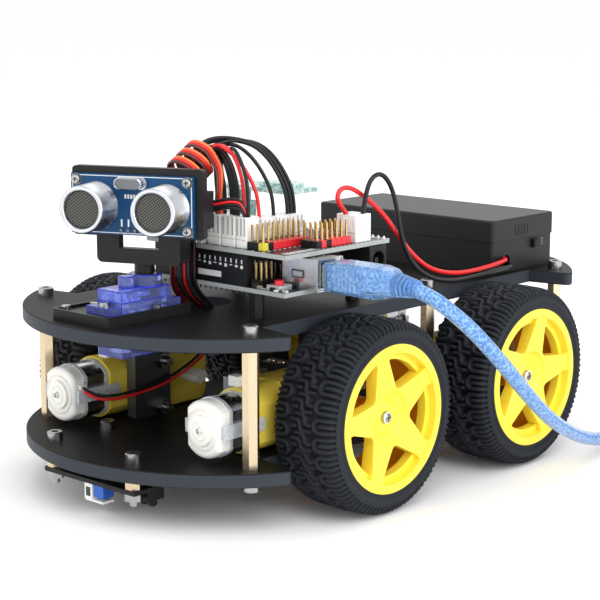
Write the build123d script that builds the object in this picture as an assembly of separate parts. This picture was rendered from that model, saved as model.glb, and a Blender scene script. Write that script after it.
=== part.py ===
"""Four-wheel robot chassis: two round-ended plates on hex standoffs, four geared motors with wheels,
a servo-turned distance sensor head, a controller with a sensor shield, a battery box and their leads.

Millimetres. +Z is up, the robot drives towards -Y and +X is its left side. The origin is on the ground,
midway between the axles. Parts that repeat are made once for the front left corner and mirrored."""

import math
import os

from build123d import *

# Chassis plates
PLATE_T = 4.8
LOWER_TOP = 21.9
PLATE_GAP = 40.0
LOWER_BOTTOM = LOWER_TOP - PLATE_T
UPPER_BOTTOM = LOWER_TOP + PLATE_GAP
UPPER_TOP = UPPER_BOTTOM + PLATE_T
DISC_R = 72.55
DISC_Y = 46.5
CORNER_X, CORNER_Y = 64.3, 79.8
WAIST_X, WAIST_Y = 46.6, 76.5
STANDOFFS = [(x, y) for x in (-51.5, 51.5) for y in (-87.3, 87.3)] + [(-40.5, 19.5), (40.5, 19.5)]
M3_HOLE_R = 1.6
M3_HEAD_R, M3_HEAD_H = 2.75, 3.0

BOX_SCREWS = [(-30.0, 77.8), (20.0, 77.8)]
REAR_HOLES = [(-25.0, 108.5), (25.0, 108.5)]
SENSOR_SCREWS = [(-23.7, -107.6), (16.7, -107.6), (-21.4, -85.5)]
SENSOR_Z = 10.8
DRIVER_POSTS = [(x, y) for x in (-18.5, 18.5) for y in (-18.5, 18.5)]

# Wheels and drive
AXLE_Y = 41.5
AXLE_Z = 33.6
TYRE_R = 33.6
TYRE_IN, TYRE_OUT = 48.1, 74.6
RIM_R = 25.8
SPOKES = 5
WHEELS = {"fl": (1, -1, 14.4), "fr": (-1, -1, 31.0), "rl": (1, 1, -12.0), "rr": (-1, 1, 50.0)}
GEARBOX_IN, GEARBOX_OUT = 27.0, 45.8
GEARBOX_H = 22.5
GEARBOX_TAIL = -30.3
MOTOR_X = (GEARBOX_IN + GEARBOX_OUT) / 2
CAN_R, CAN_FLAT = 10.05, 7.7
SHAFT_R, SHAFT_FLAT = 2.7, 1.85
BRACKET_Y0, BRACKET_Y1 = -70.8, -53.5
BRACKET_T = 4.5
BRACKET_SCREWS_Y, BRACKET_PITCH = -58.0, 17.5

# Sensor head and its servo
SERVO_X, SERVO_Y = 0.0, -85.8
SERVO_BODY = (-102.0, -79.8)
SERVO_HALF_W = 6.1
SERVO_BOTTOM = 54.0
EAR_BOTTOM = 69.2
TRAY = (-17.0, 11.0, -113.0, -74.0)
HEAD_TURN = 22.76
BRACKET_BOTTOM = 84.5
NECK_TOP = 93.7
BRACKET_TOP = 117.3
SONAR_Z = 104.7
SONAR_FRONT = 6.65
SONAR_SHIFT = -1.3
PCB_T = 1.6

# Boards on the upper plate
BOARD_X0, BOARD_X1 = -19.4, 49.2
BOARD_Y0, BOARD_Y1 = -68.5, -15.2
CONTROLLER_Z = 75.5
SHIELD_Z = 88.3
USB_Y, USB_Z = -53.3, 82.5
CABLE_HOLE = (0.0, -57.0, 9.5)
RESET = (42.7, -64.2)
PIN_ROWS = [(x, -65.6, 9) for x in (31.6, 34.2, 36.8)] + [(x, -50.0, 7) for x in (41.6, 44.2, 46.8)]

# Battery box
BOX_X0, BOX_X1 = -46.8, 42.6
BOX_Y0, BOX_Y1 = 57.1, 98.4
BOX_SEAM, BOX_TOP = 79.0, 87.7
BOX_WALL = 1.2
CELL_R, CELL_L = 9.0, 65.0
SWITCH_Y, SWITCH_Z = 87.8, 76.3
LEAD_HOLE_Y, LEAD_HOLE_Z = 66.5, 71.0

# Cords: diameters and routes, each route a list of points chosen along the cord
USB_D = 5.0
USB_ROUTE = [
    (89.0, -53.3, 82.2), (97.0, -53.6, 80.9), (104.0, -51.5, 76.6), (109.2, -46.0, 70.0),
    (111.6, -37.5, 61.3), (111.2, -25.5, 51.4), (108.4, -10.5, 40.4), (103.8, 7.5, 29.6),
    (98.0, 27.5, 20.2), (92.2, 48.0, 12.2), (86.8, 69.5, 6.2), (83.2, 91.0, 2.9),
    (83.0, 108.0, 2.5), (83.3, 119.0, 2.5),
]
COIL_X, COIL_Y, COIL_R = 110.5, 119.0, 27.2
COIL_TUBE = 3.0
COIL_H = 10.4
LEAD_D = 1.7
RED_ROUTE = [
    (40.6, 65.6, 72.0), (44.8, 64.4, 72.4), (47.6, 56.0, 72.3), (47.9, 42.0, 71.4), (47.9, 27.0, 71.5),
    (47.8, 12.0, 74.8), (47.6, 1.0, 81.6), (47.3, -7.6, 90.4), (46.6, -15.0, 98.6),
    (45.2, -24.2, 105.6), (44.4, -30.4, 108.9), (44.0, -35.0, 108.6), (43.8, -36.4, 105.2),
    (43.5, -33.4, 102.0), (43.0, -30.0, 99.0),
]
BLACK_ROUTE = [
    (40.6, 67.6, 70.1), (44.8, 66.6, 70.0), (49.2, 60.0, 70.3), (50.6, 50.0, 70.6), (50.8, 37.0, 69.9),
    (50.7, 20.0, 69.7), (50.6, 6.6, 73.0), (50.2, -2.8, 79.6), (49.6, -7.8, 88.4), (49.2, -9.8, 98.8),
    (48.6, -12.6, 108.2), (48.2, -17.8, 113.2), (47.8, -23.0, 111.6), (47.4, -25.4, 105.6),
    (47.0, -26.2, 99.0),
]
HARNESS_D = 3.0
FRONT_ROUTE = [
    (21.2, -63.4, 100.0), (20.2, -62.6, 111.0), (16.8, -62.0, 119.4), (12.2, -63.4, 121.6),
    (8.85, -66.8, 118.2), (7.1, -69.6, 112.4), (6.6, -70.8, 104.0), (6.8, -71.2, 93.0),
    (6.8, -71.4, 83.0), (6.3, -71.2, 74.4), (5.0, -60.4, 65.4), (5.8, -54.4, 60.4), (9.6, -47.6, 56.0),
    (14.0, -40.0, 54.0),
]
REAR_ROUTE = [
    (25.0, -42.0, 98.6), (24.4, -43.6, 109.6), (21.2, -48.0, 119.6), (15.8, -53.6, 124.6),
    (10.2, -59.4, 123.0), (6.15, -64.7, 118.2), (4.1, -68.2, 112.0), (3.3, -70.6, 104.0),
    (3.2, -71.2, 93.0), (3.1, -71.4, 83.0), (2.8, -71.2, 74.4), (1.6, -60.8, 65.6), (2.0, -54.4, 60.2),
    (5.4, -47.2, 55.6), (9.6, -39.0, 53.4),
]
SERVO_LEAD_D = 2.4
SERVO_ROUTE = [
    (-2.5, -79.6, 57.2), (-2.8, -73.4, 56.8), (-3.6, -67.4, 57.6), (-3.8, -63.2, 62.4),
    (-3.2, -63.6, 67.6), (-1.6, -70.8, 74.2), (-0.6, -71.6, 82.0), (-0.6, -71.6, 94.0),
    (-1.2, -71.0, 105.0), (-1.6, -68.6, 112.0), (0.4, -65.6, 114.9),
]
SERVO_COIL = (5.0, -69.0, 115.0)
SERVO_COIL_ALONG = (0.476, 0.619, 0.619)
SERVO_COIL_R, SERVO_COIL_L = (4.9, 6.8), 10.0
SONAR_LEAD_D = 2.6
SONAR_ROUTE = [
    (0.04, -89.16, 97.0), (-1.2, -86.3, 97.0), (-1.9, -82.0, 98.0), (0.4, -77.6, 101.6),
    (6.0, -75.2, 105.2), (12.6, -73.6, 109.2), (19.2, -71.4, 112.4), (25.0, -68.6, 111.4),
    (27.6, -65.8, 106.6), (27.6, -64.2, 100.0),
]
MOTOR_LEAD_D = 2.0
MOTOR_ROUTE = [
    (28.1, -91.0, 36.2), (24.8, -89.4, 33.6), (22.2, -82.0, 32.0), (20.6, -71.0, 32.8), (20.2, -58.0, 34.2),
    (20.0, -44.0, 39.0), (22.0, -31.0, 45.0), (23.6, -20.0, 45.4), (24.2, -12.0, 39.4),
]


def block(x0, x1, y0, y1, z0, z1):
    """A box between two corners."""
    return Pos((x0 + x1) / 2, (y0 + y1) / 2, (z0 + z1) / 2) * Box(x1 - x0, y1 - y0, z1 - z0)


def rod(r, start, axis, length):
    """A cylinder of radius r from start along an axis."""
    plane = Plane(origin=start, z_dir=axis)
    return plane * Cylinder(r, length, align=(Align.CENTER, Align.CENTER, Align.MIN))


def hexagon(across, start, length):
    """An upright hexagonal prism, across its flats."""
    return Pos(*start) * extrude(RegularPolygon(across / math.sqrt(3), 6), length)


def post(r, x, y, z0, z1):
    """An upright round bar or hole."""
    return rod(r, (x, y, z0), (0, 0, 1), z1 - z0)


def flip(part, sx, sy):
    """The front left part, mirrored to another corner."""
    if sx < 0:
        part = mirror(part, about=Plane.YZ)
    if sy > 0:
        part = mirror(part, about=Plane.XZ)
    return part


def save(name, *shapes):
    """One STEP for a node: a single solid, or a group of separate ones."""
    solids = [s for shape in shapes for s in shape.solids()]
    body = solids[0] if len(solids) == 1 else Compound(children=solids)
    body.label = name
    export_step(body, os.path.join("parts", name + ".step"))


def corner_radii(points):
    """Each arc's radius: 0.45 of the shorter run beside it over the tangent of half the turn."""
    radii = []
    for a, b, c in zip(points, points[1:], points[2:]):
        before, after = Vector(*b) - Vector(*a), Vector(*c) - Vector(*b)
        turn = math.radians(before.get_angle(after))
        radii.append(0.45 * min(before.length, after.length) / math.tan(turn / 2))
    return radii


def cord(name, points, diameter):
    """A cord's tube along straight runs joined by tangent arcs."""
    radii = corner_radii(points)
    path = FilletPolyline(*points, radius=radii)
    start = Plane(origin=points[0], z_dir=Vector(*points[1]) - Vector(*points[0]))
    tube = sweep(start * Circle(diameter / 2), path=path)
    expected = math.pi * diameter**2 / 4 * path.length
    print(name, "radii", [round(r, 1) for r in radii], "length", round(path.length, 1),
          "volume share", round(tube.volume / expected, 3))
    return tube


# ---------------------------------------------------------------- chassis

def plate_blank(bottom):
    """The outline both plates share: a disc at each end and a narrow waist between the wheels."""
    right = Polyline((CORNER_X, -CORNER_Y), (WAIST_X, -WAIST_Y), (WAIST_X, WAIST_Y), (CORNER_X, CORNER_Y))
    rear = ThreePointArc((CORNER_X, CORNER_Y), (0, DISC_Y + DISC_R), (-CORNER_X, CORNER_Y))
    left = mirror(right, about=Plane.YZ)
    front = mirror(rear, about=Plane.XZ)
    outline = Wire([*right.edges(), *rear.edges(), *left.edges(), *front.edges()])
    plate = Pos(0, 0, bottom) * extrude(Face(outline), PLATE_T)
    corners = plate.edges().filter_by(Axis.Z).filter_by(lambda e: abs(e.center().X) > CORNER_X - 1)
    plate = fillet(corners, 2.4)
    rims = plate.edges().filter_by(lambda e: e.geom_type == GeomType.CIRCLE and e.radius > 50)
    return chamfer(rims, 0.35)


def plate_holes(plate, spots, bottom, r=M3_HOLE_R):
    """Clearance holes through a plate."""
    for x, y in spots:
        plate -= post(r, x, y, bottom - 1, bottom + PLATE_T + 1)
    return plate


def controller_posts():
    """Where the controller's four spacers stand."""
    return [(BOARD_X1 - 14.0, BOARD_Y1 - 2.5), (BOARD_X1 - 15.3, BOARD_Y0 + 2.6),
            (BOARD_X0 + 2.5, BOARD_Y1 - 7.6), (BOARD_X0 + 2.5, BOARD_Y1 - 35.5)]


def tray_screws():
    """The servo tray's four plate screws."""
    return [(-13.8, -109.4), (-10.4, -99.8), (-13.8, -78.4), (8.1, -88.0)]


def make_upper_plate():
    plate = plate_holes(plate_blank(UPPER_BOTTOM), STANDOFFS + controller_posts() + BOX_SCREWS + REAR_HOLES,
                        UPPER_BOTTOM)
    plate = plate_holes(plate, tray_screws(), UPPER_BOTTOM, 1.1)
    plate -= block(-SERVO_HALF_W - 0.3, SERVO_HALF_W + 0.3, SERVO_BODY[0] - 0.3, SERVO_BODY[1] + 0.3,
                   UPPER_BOTTOM - 1, UPPER_TOP + 1)
    hole_x, hole_y, hole_r = CABLE_HOLE
    plate -= post(hole_r, hole_x, hole_y, UPPER_BOTTOM - 1, UPPER_TOP + 1)
    save("upper_plate", plate)


def bracket_feet():
    """The two floor screws of each of the four brackets."""
    x, ys = GEARBOX_IN - BRACKET_T / 2, (BRACKET_Y0 + 3.0, BRACKET_Y0 + 7.9)
    return [(sx * x, sy * y) for sx in (-1, 1) for sy in (-1, 1) for y in ys]


def make_lower_plate():
    plate = plate_holes(plate_blank(LOWER_BOTTOM), STANDOFFS + SENSOR_SCREWS + DRIVER_POSTS + bracket_feet(),
                        LOWER_BOTTOM)
    save("lower_plate", plate)


def socket_screw(x, y, seat, reach, up=1):
    """An M3 socket screw with its head on the seat and its shank going down, or up when up is -1."""
    head = post(M3_HEAD_R, 0, 0, 0, M3_HEAD_H)
    head = chamfer(head.edges().filter_by(GeomType.CIRCLE).sort_by(Axis.Z)[-1], 0.3)
    head -= Pos(0, 0, 1.4) * extrude(RegularPolygon(1.45, 6), 3)
    screw = head + post(1.45, 0, 0, -reach, 0)
    return Pos(x, y, seat) * (Rot(0 if up > 0 else 180, 0, 0) * screw)


def nut(x, y, bottom):
    """An M3 nut with its thread's bore."""
    return hexagon(5.5, (x, y, bottom), 2.4) - post(1.5, x, y, bottom - 1, bottom + 4)


def sensor_hardware():
    """The line sensor's brass spacers, and the screws and nuts that hold it under the lower plate."""
    spacers, fixings = [], []
    for x, y in SENSOR_SCREWS:
        spacer = hexagon(5.0, (x, y, SENSOR_Z + PCB_T), LOWER_BOTTOM - SENSOR_Z - PCB_T)
        spacers.append(spacer - post(1.5, x, y, SENSOR_Z, LOWER_BOTTOM + 1))
        fixings += [socket_screw(x, y, LOWER_TOP, LOWER_TOP - 6.6), nut(x, y, SENSOR_Z - 2.4)]
    return spacers, fixings


def make_standoffs():
    posts = sensor_hardware()[0]
    for x, y in STANDOFFS:
        bar = hexagon(5.0, (x, y, LOWER_TOP), PLATE_GAP)
        bar -= post(1.5, x, y, LOWER_TOP - 1, LOWER_TOP + 8)
        bar -= post(1.5, x, y, UPPER_BOTTOM - 8, UPPER_BOTTOM + 1)
        posts.append(bar)
    save("standoffs", *posts)


def make_deck_screws():
    screws = [socket_screw(x, y, UPPER_TOP, PLATE_T + 6) for x, y in STANDOFFS]
    screws += [socket_screw(x, y, LOWER_BOTTOM, PLATE_T + 6, -1) for x, y in STANDOFFS]
    screws += [socket_screw(x, y, LOWER_BOTTOM, PLATE_T + 5, -1) for x, y in bracket_feet()]
    for x, y in BOX_SCREWS:
        screws.append(post(2.6, x, y, UPPER_TOP + BOX_WALL, UPPER_TOP + BOX_WALL + 0.25)
                      + post(1.45, x, y, UPPER_BOTTOM - 3, UPPER_TOP + BOX_WALL))
        screws.append(nut(x, y, UPPER_BOTTOM - 2.4))
    save("deck_screws", *screws, *sensor_hardware()[1])


# ---------------------------------------------------------------- wheels and motors

def wheel_profile(points):
    """A closed profile of (distance along the axle from the outer face, radius), turned about the axle."""
    face = Face(Wire(Polyline(*points, close=True).edges()))
    return revolve(face, Axis.X)


def make_tyre_blank():
    width = TYRE_OUT - TYRE_IN
    return wheel_profile([
        (0, RIM_R), (-0.2, TYRE_R - 3.4), (-1.6, TYRE_R - 1.2), (-4.6, TYRE_R - 0.25), (-width / 2, TYRE_R),
        (-width + 4.6, TYRE_R - 0.25), (-width + 1.6, TYRE_R - 1.2), (-width + 0.2, TYRE_R - 3.4),
        (-width, RIM_R),
    ])


def spoke_window(angle):
    """The gap between two spokes, cut right through, and the step of the rim beyond it."""
    tip, outer, spread = 9.8, 20.2, 27.0
    a, b = math.radians(-spread), math.radians(spread)
    ends = (outer * math.cos(a), outer * math.sin(a)), (outer * math.cos(b), outer * math.sin(b))
    sides = Polyline(ends[0], (tip, 0), ends[1]).edges()
    arc = ThreePointArc(ends[1], (outer, 0), ends[0]).edges()
    hole = extrude(Face(Wire([*sides, *arc])), 8, dir=(0, 0, 1))
    hole = fillet(hole.edges().filter_by(Axis.Z).sort_by(lambda e: e.center().X)[0], 2.2)
    inner, lip = 19.8, 22.6
    ring = extrude(Circle(lip) - Circle(inner), 3)
    far_a, far_b = ((40 * math.cos(t), 40 * math.sin(t)) for t in (a, b))
    wedge = extrude(make_face(Polyline((0, 0), far_a, far_b, close=True)), 3, dir=(0, 0, 1))
    step = Pos(0, 0, 5.2) * (ring & wedge)
    return Rot(0, 0, angle) * (hole + step)


def make_rim_blank():
    """The rim with its outer face at x = 0, facing +X, and a spoke pointing up."""
    hub_back = -(TYRE_OUT - GEARBOX_OUT - 0.4)
    barrel_back = -(TYRE_OUT - TYRE_IN) + 0.6
    rim = wheel_profile([
        (0, 22.7), (0, RIM_R - 0.3), (-0.3, RIM_R - 0.02), (barrel_back, RIM_R - 0.02), (barrel_back, 23.6),
        (-8.2, 23.2), (-6.2, 22.4), (-6.2, 5.6), (hub_back, 5.0), (hub_back, 0),
        (-5.4, 0), (-5.4, 1.9), (-4.4, 1.9), (-4.2, 4.7), (-5.0, 6.4), (-3.4, 8.8), (-2.2, 9.6), (-1.0, 20.5),
        (-0.8, 22.4),
    ])
    cutter = Rot(0, 90, 0)
    for n in range(SPOKES):
        angle = (n + 0.5) * 360 / SPOKES
        window = Pos(0, 0, -8.0) * spoke_window(angle)
        rim -= cutter * (Rot(0, 0, 180) * window)
    bore = rod(SHAFT_R + 0.05, (hub_back - 1, 0, 0), (1, 0, 0), -hub_back + 1 - 13.0)
    bore &= block(hub_back - 1, 0, -10, 10, -SHAFT_FLAT - 0.05, SHAFT_FLAT + 0.05)
    rim -= bore
    rim -= rod(1.1, (-21, 0, 0), (1, 0, 0), 20)
    return rim


def make_axle_blank():
    """The nylon output shaft with its gear and the wheel's screw, centred on the axle at x = 0."""
    inner, outer = GEARBOX_IN - 9.0, GEARBOX_OUT + 12.6
    shaft = rod(SHAFT_R, (inner, 0, 0), (1, 0, 0), outer - inner)
    for x0, x1 in ((inner, GEARBOX_IN - 0.6), (GEARBOX_OUT + 0.3, outer)):
        shaft -= block(x0 - 1, x1 + 1 if x1 == outer else x1, -5, 5, SHAFT_FLAT, 5)
        shaft -= block(x0 - 1, x1 + 1 if x1 == outer else x1, -5, 5, -5, -SHAFT_FLAT)
    shaft -= rod(1.0, (outer - 9, 0, 0), (1, 0, 0), 10)
    gear = rod(8.2, (MOTOR_X - 1.6, 0, 0), (1, 0, 0), 3.2)
    for n in range(24):
        tooth = block(MOTOR_X - 1.6, MOTOR_X + 1.6, -0.55, 0.55, 8.0, 9.3)
        gear += Rot(n * 15, 0, 0) * tooth
    head = rod(2.1, (TYRE_OUT - 4.35, 0, 0), (1, 0, 0), 1.5)
    head = fillet(head.edges().filter_by(GeomType.CIRCLE).sort_by(Axis.X)[-1], 0.6)
    head -= block(TYRE_OUT - 3.5, TYRE_OUT, -1.4, 1.4, -0.25, 0.25)
    head -= block(TYRE_OUT - 3.5, TYRE_OUT, -0.25, 0.25, -1.4, 1.4)
    screw = head + rod(0.95, (outer - 8, 0, 0), (1, 0, 0), TYRE_OUT - 4.35 - outer + 8)
    return [shaft + gear, screw]


def make_wheels():
    tyre, rim, axle = make_tyre_blank(), make_rim_blank(), make_axle_blank()
    for corner, (sx, sy, phase) in WHEELS.items():
        place = Pos(0, sy * AXLE_Y, AXLE_Z)
        outer = Pos(TYRE_OUT, 0, 0)
        turn = Rot(phase, 0, 0)
        side = (lambda p: p) if sx > 0 else (lambda p: mirror(p, about=Plane.YZ))
        save("tyre_" + corner, place * side(outer * tyre))
        save("rim_" + corner, place * side(turn * (outer * rim)))
        save("axle_" + corner, *[place * side(turn * piece) for piece in axle])


def can_shape(y0, y1, r, flat):
    """A round can with two flats, along Y at the front left motor's axis."""
    can = rod(r, (MOTOR_X, y0, AXLE_Z), (0, 1, 0), y1 - y0)
    return can & block(MOTOR_X - flat, MOTOR_X + flat, y0, y1, AXLE_Z - 20, AXLE_Z + 20)


def make_gearbox():
    """The front left yellow gearbox housing: a hollow box, its collar round the motor and its rear tab."""
    low, high = AXLE_Z - GEARBOX_H / 2, AXLE_Z + GEARBOX_H / 2
    shell = block(GEARBOX_IN, GEARBOX_OUT, -62.0, GEARBOX_TAIL, low, high)
    shell = fillet(shell.edges().filter_by(Axis.X).group_by(Axis.Y)[-1], 4.0)
    shell = fillet(shell.edges().filter_by(Axis.Y), 1.0)
    shell += can_shape(-78.6, -61.0, GEARBOX_H / 2, (GEARBOX_OUT - GEARBOX_IN) / 2 - 0.2)
    shell += block(MOTOR_X - 1.5, MOTOR_X + 1.5, GEARBOX_TAIL - 1, GEARBOX_TAIL + 5,
                   AXLE_Z - 3.5, AXLE_Z + 3.5)
    shell -= rod(1.5, (0, GEARBOX_TAIL + 2.6, AXLE_Z), (1, 0, 0), 60)
    shell -= block(GEARBOX_IN + 1.6, GEARBOX_OUT - 1.6, -57.0, GEARBOX_TAIL - 1.6, low + 1.6, high - 1.6)
    shell -= can_shape(-80, -59.5, CAN_R + 0.05, CAN_FLAT + 0.05)
    shell -= rod(1.2, (MOTOR_X, -60, AXLE_Z), (0, 1, 0), 4)
    shell -= rod(SHAFT_R + 0.06, (20, -AXLE_Y, AXLE_Z), (1, 0, 0), 40)
    for z in (AXLE_Z - BRACKET_PITCH / 2, AXLE_Z + BRACKET_PITCH / 2):
        shell += rod(2.6, (GEARBOX_IN + 0.4, BRACKET_SCREWS_Y, z), (1, 0, 0), GEARBOX_OUT - GEARBOX_IN - 0.8)
        shell -= rod(1.55, (20, BRACKET_SCREWS_Y, z), (1, 0, 0), 40)
    return shell


def make_motors():
    gearbox = make_gearbox()
    can = can_shape(-88.4, -68.2, CAN_R, CAN_FLAT)
    cap = can_shape(-94.8, -88.4, CAN_R - 0.15, CAN_FLAT - 0.1)
    cap = fillet(cap.edges().group_by(Axis.Y)[0], 1.6)
    cap += rod(5.0, (MOTOR_X, -95.9, AXLE_Z), (0, 1, 0), 1.4)
    cap -= rod(1.15, (MOTOR_X, -97, AXLE_Z), (0, 1, 0), 2.2)
    tip = rod(1.0, (MOTOR_X, -96.9, AXLE_Z), (0, 1, 0), 2.0)
    side = MOTOR_X - CAN_FLAT
    blade = block(side - 0.9, side + 0.1, -92.0, -90.0, AXLE_Z + 0.8, AXLE_Z + 4.0)
    bracket = block(GEARBOX_IN - BRACKET_T, GEARBOX_IN, BRACKET_Y0, BRACKET_Y1, LOWER_TOP, AXLE_Z + 12.4)
    bracket = chamfer(bracket.edges().filter_by(Axis.X), 0.6)
    hardware = []
    for z in (AXLE_Z - BRACKET_PITCH / 2, AXLE_Z + BRACKET_PITCH / 2):
        bracket -= rod(1.55, (20, BRACKET_SCREWS_Y, z), (1, 0, 0), 10)
        screw = rod(1.45, (17.2, BRACKET_SCREWS_Y, z), (1, 0, 0), GEARBOX_OUT - 17.2)
        screw += rod(2.7, (GEARBOX_OUT, BRACKET_SCREWS_Y, z), (1, 0, 0), 1.7)
        collar = Plane(origin=(19.9, BRACKET_SCREWS_Y, z), z_dir=(1, 0, 0)) * (
            extrude(Rot(0, 0, 30) * RegularPolygon(3.1, 6) - Circle(1.5), 2.5))
        hardware += [screw, collar]
    for y in (BRACKET_Y0 + 3.0, BRACKET_Y0 + 7.9):
        bracket -= post(1.5, GEARBOX_IN - BRACKET_T / 2, y, LOWER_TOP - 1, LOWER_TOP + 6)
    corners = [(sx, sy) for sx, sy, _ in WHEELS.values()]
    for name, (sx, sy, _) in WHEELS.items():
        save("gearbox_" + name, flip(gearbox, sx, sy))
    save("motor_cans", *[flip(can, *c) for c in corners])
    save("motor_end_caps", *[flip(p, *c) for c in corners for p in (cap, tip, blade)])
    save("motor_brackets", *[flip(bracket, *c) for c in corners])
    save("bracket_screws", *[flip(p, *c) for c in corners for p in hardware])


# ---------------------------------------------------------------- servo and sensor head

def make_servo():
    x, y0, y1 = SERVO_X, *SERVO_BODY
    top = SERVO_BOTTOM + 22.7
    case = block(x - SERVO_HALF_W, x + SERVO_HALF_W, y0, y1, SERVO_BOTTOM, top)
    case = fillet(case.edges().filter_by(Axis.Z), 0.8)
    case += block(x - SERVO_HALF_W, x + SERVO_HALF_W, y0 - 5.0, y1 + 5.0, EAR_BOTTOM, EAR_BOTTOM + 2.5)
    case += post(5.9, x, SERVO_Y, top - 1, top + 4.0)
    case += post(2.8, x, SERVO_Y - 8.4, top - 1, top + 4.0)
    case -= block(x - SERVO_HALF_W + 1, x + SERVO_HALF_W - 1, y0 + 1, y1 - 1, SERVO_BOTTOM + 1, top - 1.2)
    case -= post(2.3, x, SERVO_Y, top - 2, top + 5)
    for y in (y0 - 2.4, y1 + 2.4):
        case -= post(1.05, x, y, EAR_BOTTOM - 1, EAR_BOTTOM + 4)
    motor = post(4.0, x, SERVO_BODY[0] + 5.6, SERVO_BOTTOM + 1.4, SERVO_BOTTOM + 15.0)
    save("servo_case", case, motor)
    output = post(2.25, x, SERVO_Y, top - 3.0, top + 4.4)
    output += post(3.5, x, SERVO_Y, top + 4.3, BRACKET_BOTTOM)
    output += post(4.0, x, SERVO_Y, top - 4.6, top - 2.9)
    save("servo_output", output)
    screws = []
    for y in (y0 - 2.4, y1 + 2.4):
        screws.append(post(1.9, x, y, EAR_BOTTOM + 2.5, EAR_BOTTOM + 3.9)
                      + post(1.0, x, y, UPPER_TOP + 0.6, EAR_BOTTOM + 2.5))
    for px, py in tray_screws():
        screws.append(tray_screw(px, py))
    save("servo_screws", *screws)


def tray_screw(x, y):
    """A pan screw that holds the tray to the plate, with its nut under the plate."""
    screw = post(1.5, x, y, EAR_BOTTOM, EAR_BOTTOM + 1.8) + post(1.0, x, y, UPPER_BOTTOM - 2.4, EAR_BOTTOM)
    return screw + hexagon(4.0, (x, y, UPPER_BOTTOM - 1.7), 1.7)


def make_tray():
    x0, x1, y0, y1 = TRAY
    tray = block(x0, x1, y0, y1, UPPER_TOP, EAR_BOTTOM + 1.0)
    tray = fillet(tray.edges().filter_by(Axis.Z), 1.2)
    tray -= block(x0 + 1.2, x1 - 1.2, y0 + 1.2, y1 + 5, EAR_BOTTOM, EAR_BOTTOM + 5)
    tray -= block(-SERVO_HALF_W - 0.3, SERVO_HALF_W + 0.3, SERVO_BODY[0] - 0.3, SERVO_BODY[1] + 0.3,
                  UPPER_TOP - 1, UPPER_TOP + 6)
    for y in (SERVO_BODY[0] - 2.4, SERVO_BODY[1] + 2.4):
        tray -= post(1.1, SERVO_X, y, UPPER_TOP + 0.4, UPPER_TOP + 6)
    for x, y in tray_screws():
        tray -= post(1.1, x, y, UPPER_TOP - 1, UPPER_TOP + 6)
    save("servo_tray", tray)


def head_place():
    """Turns a head part drawn facing -Y about the servo's axis to its rest angle."""
    return Pos(SERVO_X, SERVO_Y, 0) * Rot(0, 0, HEAD_TURN)


def make_head():
    place = head_place()
    back = -SONAR_FRONT + PCB_T
    plate = block(-24.1, 24.1, back, back + 3.4, NECK_TOP, BRACKET_TOP)
    plate = fillet(plate.edges().filter_by(Axis.Y), 1.4)
    neck = block(-15.4, 15.4, back, 4.0, BRACKET_BOTTOM, NECK_TOP + 0.5)
    neck = fillet(neck.edges().filter_by(Axis.Y).group_by(Axis.Z)[0], 2.0)
    neck -= block(-13.6, 13.6, back + 3.4, 5.0, BRACKET_BOTTOM + 2.4, NECK_TOP + 1)
    bracket = plate + neck
    bracket += block(19.6, 24.1, back + 3.0, back + 9.0, 97.0, 109.4)
    bracket -= block(-7.0, 7.6, back - 1, back + 5, NECK_TOP - 4.0, NECK_TOP + 1.2)
    bracket -= block(-9.0, 6.4, back - 1, back + 5.0, NECK_TOP + 1.6, NECK_TOP + 5.0)
    holes = [(SONAR_SHIFT + u, SONAR_Z + v) for u in (-20.4, 20.4) for v in (-8.2, 8.2)]
    for u, z in holes:
        bracket -= rod(0.8, (u, back - 1, z), (0, 1, 0), 6)
    save("sensor_bracket", place * bracket)
    board = block(SONAR_SHIFT - 22.5, SONAR_SHIFT + 22.5, back - PCB_T, back, SONAR_Z - 10.2, SONAR_Z + 10.2)
    for u, z in holes:
        board -= rod(0.85, (u, back - 5, z), (0, 1, 0), 6)
    crystal = block(SONAR_SHIFT - 5.2, SONAR_SHIFT + 5.2, back - PCB_T - 3.4, back - PCB_T,
                    SONAR_Z + 5.4, SONAR_Z + 9.6)
    crystal = fillet(crystal.edges().filter_by(Axis.Y), 2.0)
    pins = block(SONAR_SHIFT - 5.1, SONAR_SHIFT + 5.1, back + 0.0, back + 1.9, SONAR_Z - 9.0, SONAR_Z - 6.6)
    save("sonar_board", place * board, place * crystal, place * pins)
    cans = []
    for u in (-13.0, 13.0):
        can = rod(8.05, (SONAR_SHIFT + u, back - PCB_T - 12.4, SONAR_Z - 0.6), (0, 1, 0), 12.4)
        can = fillet(can.edges().filter_by(GeomType.CIRCLE).sort_by(Axis.Y)[0], 0.5)
        can -= rod(6.3, (SONAR_SHIFT + u, back - PCB_T - 13, SONAR_Z - 0.6), (0, 1, 0), 1.8)
        cans.append(place * can)
    save("sonar_transducers", *cans)
    screws = []
    for u, z in holes:
        screw = rod(1.5, (u, back - PCB_T - 1.1, z), (0, 1, 0), 1.1)
        screw += rod(0.75, (u, back - PCB_T - 0.5, z), (0, 1, 0), PCB_T + 3.4)
        screws.append(place * screw)
    save("sonar_screws", *screws)


# ---------------------------------------------------------------- boards

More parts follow.
